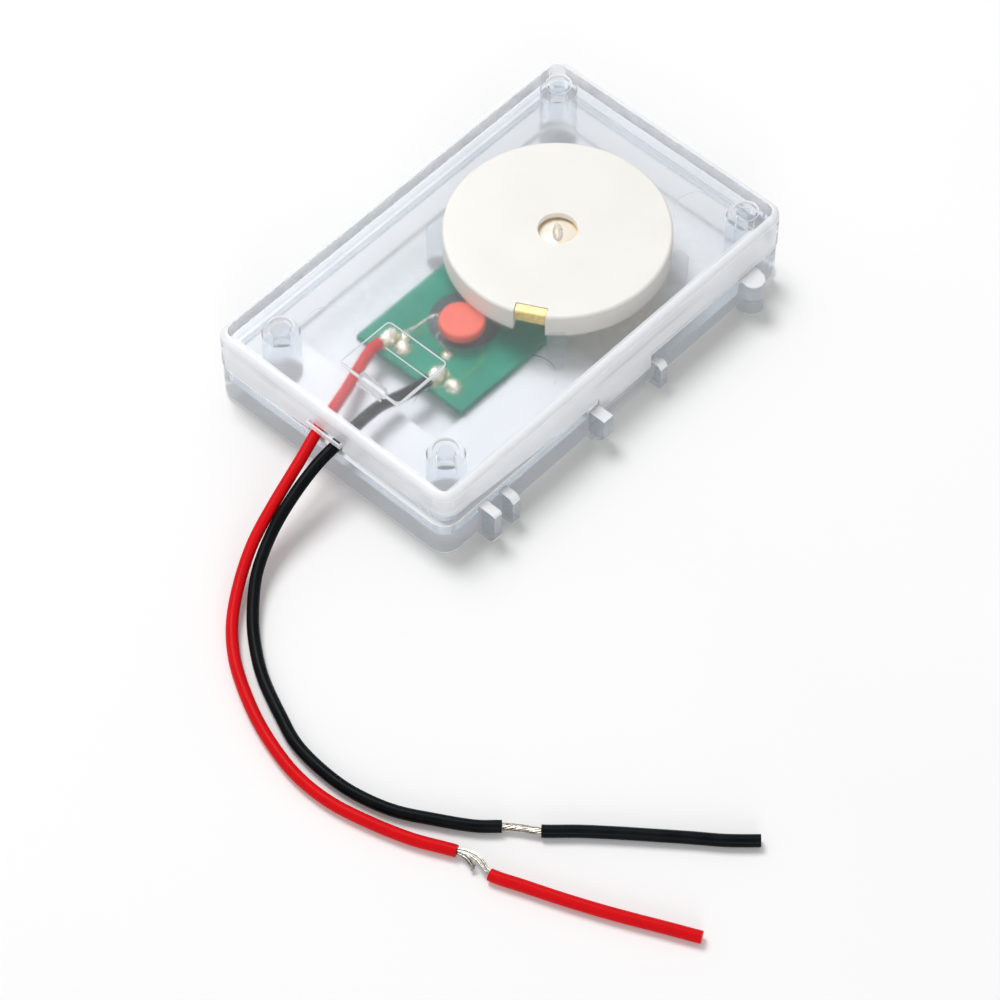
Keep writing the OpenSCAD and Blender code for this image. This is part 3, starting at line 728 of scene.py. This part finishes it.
LATCH = (-3.85, 6.05)        # from end to end of the latch tab
LATCH_FOOT = 3.4
LATCH_PLAY = 0.2
LEAD_GAP = (-2.6, 3.4)       # from side to side of the leads' opening
LEAD_GAP_TOP = 7.9
EJECTOR_MARKS = ((-21.2, -8.8), (-21.2, 10.4), (-9.8, -13.7), (25.2, -11.4))
BASE_SIDE = -BASE[1]         # outer face of the base's latch side
SPEAKER_AT = (10.8, 0.3)


def slab(half, low, high, **rounding):
    """A block round the case's middle."""
    return prism((-half[0], -half[1], low), (*half, high), **rounding)


def near(pin, reach):
    """A test of whether a point is less than reach from the middle of a pin."""
    middle = Vector(pin) * MM
    return lambda point: (point.xy - middle).length < reach * MM


# Where the case's finishes change, in millimetres
WALLS_FROM = (30.5, 18.2)    # the walls, and what stands out from them, lie beyond these
BOSS_REACH = 2.8             # from a pin's middle to just outside its boss
LEAD_RIBS_END = -15          # the ribs over the leads stand before this, and as far as
LEAD_RIBS_REACH = 5.4        # this from their middle
LEAD_RIBS_MIDDLE = 0.45
LOW_LEVEL = 5                # the base's floor is lower than this
HIGH_LEVEL = 9               # the lid's top and its ribs are higher than this


def wall_finish(centre, normal):
    """Which finish a face of the case's walls has."""
    if abs(normal.z) > 0.1:
        return "face" if abs(normal.z) > 0.985 else "edges"
    if centre.y > WALLS_FROM[1] * MM or centre.x > WALLS_FROM[0] * MM:
        return "far sides"
    return "latch side" if centre.y < -WALLS_FROM[1] * MM else "lead end"


def part_of_case(centre, normal, points):
    """Which of the case's finishes a face has. The edges are also the ribs and the raised
    floor, and the posts are also the bosses and the pins."""
    level = abs(normal.z) > 0.6
    if any(all(map(near(pin, BOSS_REACH), points)) for pin in PINS):
        if centre.z < RECESS_FLOOR * MM - TINY:
            return "posts"
        return "face" if abs(normal.z) > 0.95 else "edges"
    if abs(centre.x) > WALLS_FROM[0] * MM or abs(centre.y) > WALLS_FROM[1] * MM:
        return wall_finish(centre, normal)
    if SHELF_TOP * MM - TINY < centre.z < LOW_LEVEL * MM and normal.z > 0.9:
        return "edges"
    over_leads = (centre.x < LEAD_RIBS_END * MM
                  and abs(centre.y - LEAD_RIBS_MIDDLE * MM) < LEAD_RIBS_REACH * MM)
    if over_leads and HIGH_LEVEL * MM < centre.z < LID_UNDER * MM - TINY:
        return "edges"
    if level and abs(centre.z - LID_UNDER * MM) < 0.2 * MM:
        return "underside"
    return "face" if level and not LOW_LEVEL * MM < centre.z < HIGH_LEVEL * MM else "posts"


# What each finish of a shell is like: its tint, its milkiness, its roughness, its index
# of refraction, and the shares of a lamp's light and of the light between parts that
# pass it. On the base's lead end and latch side the tint is a painted shade
CLEAR = (1, 1, 1)
# painted shade: a darker blue-grey on the base's lead end and latch side walls, which stands for the
# shaded floor seen through them
PAINTED_BLUE_SHADE = (0.84, 0.885, 0.925)
LID_FINISHES = {
    "face": (CLEAR, 0.012, 0.06, 1.22, 0.97, 0.98),
    "underside": (CLEAR, 0.014, 0.2, 1.28, 0.97, 0.98),
    "lead end": (CLEAR, 0.55, 0.2, 1.3, 0.95, 0.96),
    "latch side": (CLEAR, 0.55, 0.2, 1.3, 0.9, 0.93),
    "far sides": (CLEAR, 0.06, 0.2, 1.15, 0.97, 0.97),
    "edges": (CLEAR, 0.8, 0.2, 1.3, 0.95, 0.96),
    "posts": (CLEAR, 0.02, 0.1, 1.02, 0.99, 0.99),
}
BASE_FINISHES = {
    "face": (CLEAR, 0.93, 0.25, 1.3, 0.25, 0.97),
    "underside": (CLEAR, 0.93, 0.25, 1.3, 0.25, 0.97),
    "lead end": (PAINTED_BLUE_SHADE, 0.2, 0.2, 1.3, 0.25, 0.85),
    "latch side": (PAINTED_BLUE_SHADE, 0.2, 0.2, 1.3, 0.1, 0.6),
    "far sides": (CLEAR, 0.06, 0.2, 1.15, 0.9, 0.95),
    "edges": (CLEAR, 0.95, 0.3, 1.3, 0.25, 0.85),
    "posts": (CLEAR, 0.04, 0.2, 1.02, 0.98, 0.98),
}


def finish_case(shell, name, node, finishes):
    """Gives a shell its finishes, face by face, and puts it in the frame."""
    materials = []
    for part, (tint, *values) in finishes.items():
        # a tint below one darkens the case's colour, which on the base's lead end and latch side is
        # painted shade
        colour = [c * t for c, t in zip(colours().case, tint)]
        title = f"injection-moulded clear polypropylene, {name} {part}"
        materials.append(clear_polypropylene(title, colour, *values))
    hand_over(shell, f"{name}_shell", materials[0], "case_plastic", node)
    for material in materials[1:]:
        shell.data.materials.append(material)
    parts = list(finishes)
    at = [vertex.co for vertex in shell.data.vertices]
    for face in shell.data.polygons:
        part = part_of_case(face.center, face.normal, [at[i] for i in face.vertices])
        face.material_index = parts.index(part)


def on_lid_edge(at):
    """True for a point of the lid's lower edge, which climbs to the lifted corner."""
    lifted = LIFTED_CORNER[2] * MM - sum(
        slope * (at[i] - LIFTED_CORNER[i] * MM) for i, slope in enumerate(LIFT_SLOPE))
    return abs(at.z - max(lifted, LID_EDGE * MM)) < 2 * TINY


RIB_ROOT = LID_UNDER + 0.2   # where what hangs from the lid's top starts, inside it


def rib_frame():
    """The hair-thin frame of ribs over the leads, with a low rib in it and stronger along
    two of its sides."""
    thin = cut_from(prism((-24.5, -4.7, 10.35), (-15.3, 5.6, RIB_ROOT), upright=0.7),
                    prism((-24.36, -4.56, 9), (-15.44, 5.46, 11), upright=0.6))
    strong = cut_from(prism((-24.55, -4.75, 10.15), (-15.4, 5.55, RIB_ROOT), upright=0.9),
                      prism((-24.25, -4.45, 9), (-14, 7, 11), upright=0.6))
    return join_on(strong, thin, prism((-18.87, -4.6, 10.4), (-18.75, 2.9, RIB_ROOT)))


def clamp():
    """The rounded bar that keeps the leads down, and the low rib beside it."""
    bar = prism((-24.45, -2.2, 9.3), (-23.5, 2.3, RIB_ROOT), upright=0.42, foot=0.2)
    return join_on(bar, prism((-25.4, -2.5, 10.1), (-25.22, 1.7, RIB_ROOT)))


class MELODY_OT_lid(bpy.types.Operator):
    """Model the clear lid with its bosses, latch tab and ribs"""

    bl_idname = "melody.lid"
    bl_label = "Lid"

    def execute(self, context):
        lid = slab(LID, 4, LID_TOP, upright=CORNER, top=1)
        slice_off(lid, (0, 0, LID_EDGE), (0, 0, -1))
        slice_off(lid, LIFTED_CORNER, (-LIFT_SLOPE[0], -LIFT_SLOPE[1], -1))
        # the outline only, and not the line where the slope starts across it
        round_edges(lid, 0.15, lambda a, b: on_lid_edge(a) and on_lid_edge(b) and (
            abs(a.x + b.x) > 62 * MM or abs(a.y + b.y) > 38 * MM), 2)
        cut_from(lid, slab(LID_ROOM, 5, LID_UNDER, upright=1, top=0.4),
                 slab(LIP_ROOM, 5, LIP_ROOM_TOP, upright=1.85))
        join_on(lid, prism((LATCH[0], -LID[1], LATCH_FOOT), (LATCH[1], -19.15, 6.6), foot=0.2),
                prism((-33, LEAD_GAP[0], LEAD_GAP_TOP), (-32, LEAD_GAP[1], 8.8), foot=0.2, top=0.2),
                rib_frame(), clamp())
        for pin in PINS:
            join_on(lid, rod(pin, BOSS_WIDTH, BOSS_FOOT, 10.8, foot=0.15))
            cut_from(lid, rod(pin, BORE_WIDTH, 6, 13), rod(pin, RECESS_WIDTH, RECESS_FLOOR, 13))
            inside = near(pin, 2)
            round_edges(lid, 0.25, lambda a, b: all(
                point.z > LID_TOP * MM - TINY and inside(point) for point in (a, b)))
        cut_from(lid, prism((-33.5, LEAD_GAP[0], 5), (-29.9, LEAD_GAP[1], LEAD_GAP_TOP)))
        for mark in EJECTOR_MARKS:
            cut_from(lid, rod(mark, 6.7, 10.3, 10.65))
        smooth_shell(lid)
        finish_case(lid, "lid", "upper_case", LID_FINISHES)
        return {"FINISHED"}


FOOTING = BASE_FLOOR - 0.2   # where what stands on the base's floor starts, inside it
RIB_FOOTING = BASE_SIDE + 0.3        # and what stands out of its latch side
RIB_WIDTH = 1.4
POST_TURNS = (-57, 57, 125, 222)     # round the speaker, clear of the board
POST_REACH = 15.9            # from the speaker's middle
POST_WIDTH = 2.6


def side_rib(x, out, top, low_round, high_round):
    """A rib on the base's latch side, with its outer end rounded at its foot and top."""
    end = BASE_SIDE - out
    rib = prism((x, end, 0), (x + RIB_WIDTH, RIB_FOOTING, top))
    for z, radius in ((0, low_round), (top, high_round)):
        round_edges(rib, radius, lambda a, b: all(
            abs(p.y - end * MM) < TINY and abs(p.z - z * MM) < TINY for p in (a, b)), 6)
    for side in (x, x + RIB_WIDTH):
        round_edges(rib, 0.15, lambda a, b: all(abs(p.x - side * MM) < TINY for p in (a, b))
                    and min(a.y, b.y) < BASE_SIDE * MM + 2 * TINY, 2)
    return rib


def speaker_posts():
    """The four posts that carry the speaker, cut to clear it and the board."""
    turns = [math.radians(turn) for turn in POST_TURNS]
    places = [(SPEAKER_AT[0] + POST_REACH * math.cos(turn), SPEAKER_AT[1] + POST_REACH * math.sin(turn))
              for turn in turns]
    posts = [rod(at, POST_WIDTH, FOOTING, 7.8, top=0.15, sides=32) for at in places]
    first = join_on(posts[0], *posts[1:])
    return cut_from(first, rod(SPEAKER_AT, 30.3, 7, 12, sides=128), prism((-16, -7.6, 3), (9.35, 11.3, 7)))


def side_ribs_and_lug():
    """What stands out of the base's latch side: two ribs at the lead end, the stops on
    both sides of the latch, and the half-round lug."""
    low = (LATCH[0] - 1.9, BASE_SIDE - 2.6, 0)
    stop = prism(low, (LATCH[0] - LATCH_PLAY, RIB_FOOTING, 5.3))
    slice_off(stop, (0, BASE_SIDE - 0.7, 0), (0, -2.2, -1.9))
    lug_y = BASE_SIDE - 1.1
    return (side_rib(-26.4, 2.8, 5.8, 1.2, 0.4), side_rib(-22.6, 2.4, 5.1, 0.5, 0.9),
            side_rib(LATCH[1] + LATCH_PLAY, 1.6, 4.6, 0.3, 0.8), stop,
            rod((24.9, lug_y), 3.2, 0, 5.7, foot=0.3, top=0.2),
            prism((23.3, lug_y, 0), (26.5, RIB_FOOTING, 5.7)))


class MELODY_OT_base(bpy.types.Operator):
    """Model the clear base with its lip, raised floor, pins, posts and side ribs"""

    bl_idname = "melody.base"
    bl_label = "Base"

    def execute(self, context):
        base = slab(BASE, 0, BASE_TOP, upright=CORNER, foot=0.6, top=0.15)
        join_on(base, slab(BASE_LIP, 3, BASE_LIP_TOP, upright=1.7, top=0.15))
        cut_from(base, slab(BASE_ROOM, BASE_FLOOR, 9, upright=1, foot=0.3),
                 prism((-33.5, LEAD_GAP[0], BASE_TOP), (-29.9, LEAD_GAP[1], 9)))
        for pin in PINS:
            cut_from(base, rod(pin, BOSS_WIDTH + 0.3, BASE_TOP, 9))
        shelf = prism((-31.2, -18.9, FOOTING), (2.3, -7.6, SHELF_TOP))
        round_edges(shelf, 3, lambda a, b: min(a.x, b.x) > 2 * MM and min(a.y, b.y) > -8 * MM, 1)
        join_on(base, shelf, prism((-31.2, -18.9, FOOTING), (-20.5, 18.9, SHELF_TOP), top=0.2),
                prism((-5.35, -18.9, FOOTING), (7.55, -17.45, BASE_TOP), top=0.15), speaker_posts())
        for x in (-11.8, 5.2):
            # a hair lower than the raised floor, because level faces that meet don't join
            join_on(base, prism((x, -7.8, FOOTING), (x + 1, 11.1, SHELF_TOP - 0.05)))
        for pin in PINS:
            join_on(base, rod(pin, BOSS_WIDTH, FOOTING, BOSS_FOOT),
                    rod(pin, PIN_WIDTH, 1.6, PIN_TOP, top=0.2))
        join_on(base, *side_ribs_and_lug())
        low, high = LATCH[0] - LATCH_PLAY, LATCH[1] + LATCH_PLAY
        cut_from(base, prism((low, -21, 1.2), (high, -18.95, 9)),
                 prism((low, -21, -1), (high, -19.45, FOOTING)))
        smooth_shell(base)
        finish_case(base, "base", "lower_case", BASE_FINISHES)
        return {"FINISHED"}


# ---- speaker ----

SPEAKER_WIDTH = 30
SPEAKER_FOOT = 7
SPEAKER_TOP = 10.3
SOUND_HOLE = 5.2
BRASS_WIDTH = 27
BRASS_FOOT = 8.95
BRASS_TOP = 9.2
NOTCH_TURN = 208
NOTCH_HALF = 2.1             # half the notch's width
TAB_HALF = 2                 # half the width of the brass's tab in it
ROUND_SIDES = 160            # of the widest rims, so that their outline stays round


def at_notch(piece):
    """Turns a piece that was made along +X to the speaker's notch."""
    return turned(piece, NOTCH_TURN, (*SPEAKER_AT, 0))


class MELODY_OT_speaker(bpy.types.Operator):
    """Model the speaker's housing with its sound hole and notch"""

    bl_idname = "melody.speaker"
    bl_label = "Speaker housing"

    def execute(self, context):
        housing = rod(SPEAKER_AT, SPEAKER_WIDTH, SPEAKER_FOOT, SPEAKER_TOP, top=0.45, sides=ROUND_SIDES)
        cut_from(housing, rod(SPEAKER_AT, BRASS_WIDTH + 0.3, 6, BRASS_TOP, sides=ROUND_SIDES),
                 rod(SPEAKER_AT, 24.5, 6, 9.5, sides=128), rod(SPEAKER_AT, SOUND_HOLE, 6, 12),
                 at_notch(prism((13.3, -NOTCH_HALF, 6), (16, NOTCH_HALF, 12))),
                 at_notch(prism((11.25, -NOTCH_HALF, 6), (16, NOTCH_HALF, 9.5))))
        inside = near(SPEAKER_AT, 3)
        round_edges(housing, 0.12, lambda a, b: all(
            point.z > SPEAKER_TOP * MM - TINY and inside(point) for point in (a, b)), 2)
        smooth_shell(housing)
        hand_over(housing, "moulded_housing", moulded_housing("moulded cream ABS", colours().housing),
                  "housing_plastic", "speaker_housing")
        return {"FINISHED"}


class MELODY_OT_brass(bpy.types.Operator):
    """Model the brass disc with the tab that is folded over in the housing's notch"""

    bl_idname = "melody.brass"
    bl_label = "Brass disc"

    def execute(self, context):
        disc = rod(SPEAKER_AT, BRASS_WIDTH, BRASS_FOOT, BRASS_TOP, sides=ROUND_SIDES)
        fold = prism((13.35, -TAB_HALF, BRASS_FOOT), (14.6, TAB_HALF, 10.1))
        round_edges(fold, 0.35, lambda a, b: min(a.x, b.x) > 14.5 * MM and min(a.z, b.z) > 10 * MM)
        cut_from(fold, prism((13.6, -3, 8), (14.35, 3, 9.85)))
        join_on(fold, prism((6.75, -TAB_HALF, BRASS_FOOT), (13.6, TAB_HALF, BRASS_TOP)),
                prism((14.35, -TAB_HALF, 8.5), (14.6, TAB_HALF, BRASS_TOP)))
        join_on(disc, at_notch(fold))
        smooth_shell(disc)
        hand_over(disc, "brass_disc", rolled_brass("rolled brass strip"), "brass_sheet", "brass_diaphragm")
        return {"FINISHED"}


class MELODY_OT_centre_solder(bpy.types.Operator):
    """Model the peak of solder under the sound hole and the flux round it"""

    bl_idname = "melody.centre_solder"
    bl_label = "Centre solder"

    def execute(self, context):
        peak = turned(ball((2.8, 1.4, 1.6)), 223, (*SPEAKER_AT, BRASS_TOP + 0.3))
        lumpy(peak, 0.12, 0.6)
        slice_off(peak, (0, 0, BRASS_TOP), (0, 0, -1))
        smooth_shell(peak, 50)
        hand_over(peak, "solder_peak", tin_solder("hand-laid tin solder, peak", metal=0.3),
                  "solder", "centre_solder")
        film = dome(SPEAKER_AT, BRASS_TOP, 5, 0.45, depth=0.08)
        smooth_shell(film, 50)
        hand_over(film, "flux_film", set_flux("set rosin flux"), "solder")
        return {"FINISHED"}


# ---- board ----

BOARD_TOP = 4
PAD_TOP = 4.07
JOINTS = ((-15.15, 7.5), (-15.35, -1.3))     # where the leads end
DOTS = ((-13.4, 5.1), (-13.6, -3.9))
GLOB_AT = (-4.6, 2.5)
CAPACITOR_AT = (-6.5, 1.2)
CAPACITOR_WIDTH = 6.1
CAPACITOR_PADS = ((112, (-11.9, 6.2)), (165, (-10.4, 0.2)))      # each wire's turn and pad
WIRE_WIDTH = 0.28


class MELODY_OT_solder(bpy.types.Operator):
    """Model the lead joints and the drops of solder on their tinned pads"""

    bl_idname = "melody.solder"
    bl_label = "Solder"

    def execute(self, context):
        solder = tin_solder("hand-laid tin solder")
        joints = join_up([lumpy(turned(ball((3.2, 2, 2.2)), 0, (x + 1.5, y, 4.35)), 0.4, 0.9)
                          for x, y in JOINTS])
        slice_off(joints, (0, 0, BOARD_TOP), (0, 0, -1))
        smooth_shell(joints, 50)
        hand_over(joints, "lead_joints", solder, "solder", "lead_solder_joints")
        drops = [dome(at, BOARD_TOP, 2.3, 0.95, depth=0.3, size=0.8) for at in DOTS]
        drops += [dome(at, BOARD_TOP, 1.5, 0.6, depth=0.1, size=0.5) for _, at in CAPACITOR_PADS]
        drops = join_up(drops)
        smooth_shell(drops, 50)
        hand_over(drops, "solder_drops", solder, "solder", "board_solder_dots")
        pads = [prism((x - 0.1, y - 1, BOARD_TOP), (x + 3.1, y + 1, PAD_TOP), upright=0.6)
                for x, y in JOINTS]
        pads += [rod(at, 2.2, BOARD_TOP, PAD_TOP) for at in DOTS]
        pads = join_up(pads)
        smooth_shell(pads)
        hand_over(pads, "tinned_pads", tinned_foil("tinned copper pads"), "copper_foil")
        return {"FINISHED"}


class MELODY_OT_capacitor(bpy.types.Operator):
    """Model the dipped capacitor, its wires and the drop of epoxy under it"""

    bl_idname = "melody.capacitor"
    bl_label = "Capacitor"

    def execute(self, context):
        body = rod(CAPACITOR_AT, CAPACITOR_WIDTH, 5.35, 6.85, foot=0.6, top=0.35)
        lumpy(body, 0.06, 1.6)
        smooth_shell(body, 60)
        hand_over(body, "dipped_capacitor", dipped_coat("dipped phenolic coat", colours().capacitor),
                  "capacitor_coat", "ceramic_capacitor")
        lines = []
        for turn, pad in CAPACITOR_PADS:
            out = Vector((math.cos(math.radians(turn)), math.sin(math.radians(turn))))
            rim = Vector(CAPACITOR_AT) + 2.9 * out
            bend = rim + 0.95 * out
            fall = 0.35 * bend + 0.65 * Vector(pad)
            lines.append(smooth_line(((*rim, 6.1), (*bend, 6), (*fall, 5.2), (*pad, 5.05), (*pad, 4.65),
                                      (*pad, BOARD_TOP)), 0, 5))
        wires = tube("capacitor_leads", lines, WIRE_WIDTH / 2 * MM, 12)
        hand_over(wires, "capacitor_leads", tinned_strand("tinned capacitor wire"),
                  "solder", "capacitor_wires")
        glob = dome(GLOB_AT, BOARD_TOP, 9.6, 1.3, sides=96, depth=0.12, size=2.5)
        smooth_shell(glob, 50)
        hand_over(glob, "epoxy_drop", potting_epoxy("black potting epoxy"), "epoxy", "chip_epoxy")
        return {"FINISHED"}


class MELODY_OT_cad_finishes(bpy.types.Operator):
    """Give the CAD nodes that stay their materials"""

    bl_idname = "melody.cad_finishes"
    bl_label = "Finishes"

    def execute(self, context):
        finishes = {
            "circuit_board": solder_mask("green solder mask", colours().mask),
            "copper_tracks": solder_mask("solder mask over copper", colours().track),
            "melody_chip": sawn_silicon("diced silicon"),
            "piezo_ceramic": fired_ceramic("silvered piezo ceramic"),
            "speaker_wires": enamelled_wire("red enamelled wire"),
            "speaker_wire_joints": tin_solder("hand-laid tin solder"),
        }
        for node, material in finishes.items():
            dress(node, material)
        return {"FINISHED"}


# ---- stage ----

TARGET = Vector((-24.03, -21.66, 6)) * MM    # the middle of the module with its leads
VIEW_TURN = math.radians(-47.31)
VIEW_RISE = math.radians(53.14)
PAPER_GLOW = 0.08            # lifts the paper to white where it is seen, and lights nothing
SOFT_GREY = (0.44, 0.44, 0.44, 1)
WHITE = (1, 1, 1, 1)


def seen_directly(tree):
    """1 for rays that show the background itself: from the camera, off a mirror or
    through glass."""
    path = add(tree, "LightPath")
    mirror = add(tree, "Math", (("operation", "MAXIMUM"),),
                 in0=path.outputs["Is Camera Ray"], in1=path.outputs["Is Glossy Ray"])
    return add(tree, "Math", (("operation", "MAXIMUM"),),
               in0=mirror.outputs[0], in1=path.outputs["Is Transmission Ray"]).outputs[0]


def white_paper():
    # Seamless studio paper: matt white that keeps the shadows laid on it
    material, tree, shader, place = start("seamless white paper")
    finish(tree, shader, place, (linear("#eeeeee"), linear("#f0f0f0")), 40 * MM, (0.85, 0.95),
           20 * MM, 0.005 * MM, 0.5 * MM)
    glow = add(tree, "Emission", (("Color", WHITE),))
    strength = add(tree, "Math", (("operation", "MULTIPLY"), (1, PAPER_GLOW)), in0=seen_directly(tree))
    tree.links.new(strength.outputs[0], glow.inputs["Strength"])
    with_surface(tree, add(tree, "AddShader", in0=shader.outputs[0], in1=glow.outputs[0]))
    return material


def soft_lamp(place, width, power):
    """A round lamp that faces the module."""
    turn = (Vector(place) - TARGET).to_track_quat("Z", "Y").to_euler()
    bpy.ops.object.light_add(type="AREA", location=place, rotation=turn)
    lamp = bpy.context.view_layer.objects.active.data
    lamp.shape = "DISK"
    lamp.size = width
    lamp.energy = power


class MELODY_OT_stage(bpy.types.Operator):
    """Set up the camera, the floor, two soft lamps and the white surroundings"""

    bl_idname = "melody.stage"
    bl_label = "Stage"

    def execute(self, context):
        scene = context.scene
        deselect()
        back = Vector((math.sin(VIEW_TURN) * math.cos(VIEW_RISE),
                       -math.cos(VIEW_TURN) * math.cos(VIEW_RISE), math.sin(VIEW_RISE)))
        turn = back.to_track_quat("Z", "Y").to_euler()
        bpy.ops.object.camera_add(location=TARGET + sizes().camera_distance * back, rotation=turn)
        camera = context.view_layer.objects.active
        camera.data.lens = sizes().focal_length
        camera.data.clip_start = 10 * MM
        scene.camera = camera

        bpy.ops.mesh.primitive_plane_add(size=4)
        floor = context.view_layer.objects.active
        floor.name = "floor"
        floor.data.materials.append(white_paper())

        soft_lamp((0.12, 0.5, 0.95), 0.5, 7.7)
        soft_lamp((-0.75, -0.8, 0.32), 0.6, 3.2)
        deselect()

        world = bpy.data.worlds.new("studio")
        world.use_nodes = True
        scene.world = world
        tree = world.node_tree
        tree.nodes.clear()
        soft = add(tree, "Background", (("Color", SOFT_GREY), ("Strength", 1.0)))
        white = add(tree, "Background", (("Color", WHITE), ("Strength", 1.0)))
        both = add(tree, "MixShader", in0=seen_directly(tree), in1=soft.outputs[0], in2=white.outputs[0])
        add(tree, "OutputWorld", Surface=both.outputs[0])
        scene.view_settings.view_transform = "Standard"
        return {"FINISHED"}


class MELODY_PT_panel(bpy.types.Panel):
    """Everything that the module is made of"""

    bl_idname = "MELODY_PT_panel"
    bl_label = "Melody module"
    bl_space_type = "VIEW_3D"
    bl_region_type = "UI"
    bl_category = "Melody module"

    def draw(self, context):
        column = self.layout.column(align=True)
        for group in (context.scene.melody_sizes, context.scene.melody_colours):
            for name in group.__annotations__:
                column.prop(group, name)
        for step in STEPS_IN_ORDER:
            column.operator(step.bl_idname)


STEPS_IN_ORDER = (
    MELODY_OT_stage, MELODY_OT_red_lead, MELODY_OT_black_lead, MELODY_OT_base, MELODY_OT_lid,
    MELODY_OT_speaker, MELODY_OT_brass, MELODY_OT_centre_solder, MELODY_OT_solder,
    MELODY_OT_capacitor, MELODY_OT_cad_finishes)
CLASSES = (ModuleSizes, ModuleColours, *STEPS_IN_ORDER, MELODY_PT_panel)


def register():
    for made in CLASSES:
        bpy.utils.register_class(made)
    bpy.types.Scene.melody_sizes = PointerProperty(type=ModuleSizes)
    bpy.types.Scene.melody_colours = PointerProperty(type=ModuleColours)


def unregister():
    del bpy.types.Scene.melody_colours
    del bpy.types.Scene.melody_sizes
    for made in reversed(CLASSES):
        bpy.utils.unregister_class(made)


def main():
    register()
    bpy.ops.melody.stage()
    bpy.ops.melody.red_lead()
    bpy.ops.melody.black_lead()
    bpy.ops.melody.base()
    bpy.ops.melody.lid()
    bpy.ops.melody.speaker()
    bpy.ops.melody.brass()
    bpy.ops.melody.centre_solder()
    bpy.ops.melody.solder()
    bpy.ops.melody.capacitor()
    bpy.ops.melody.cad_finishes()


if __name__ == "__main__":
    main()
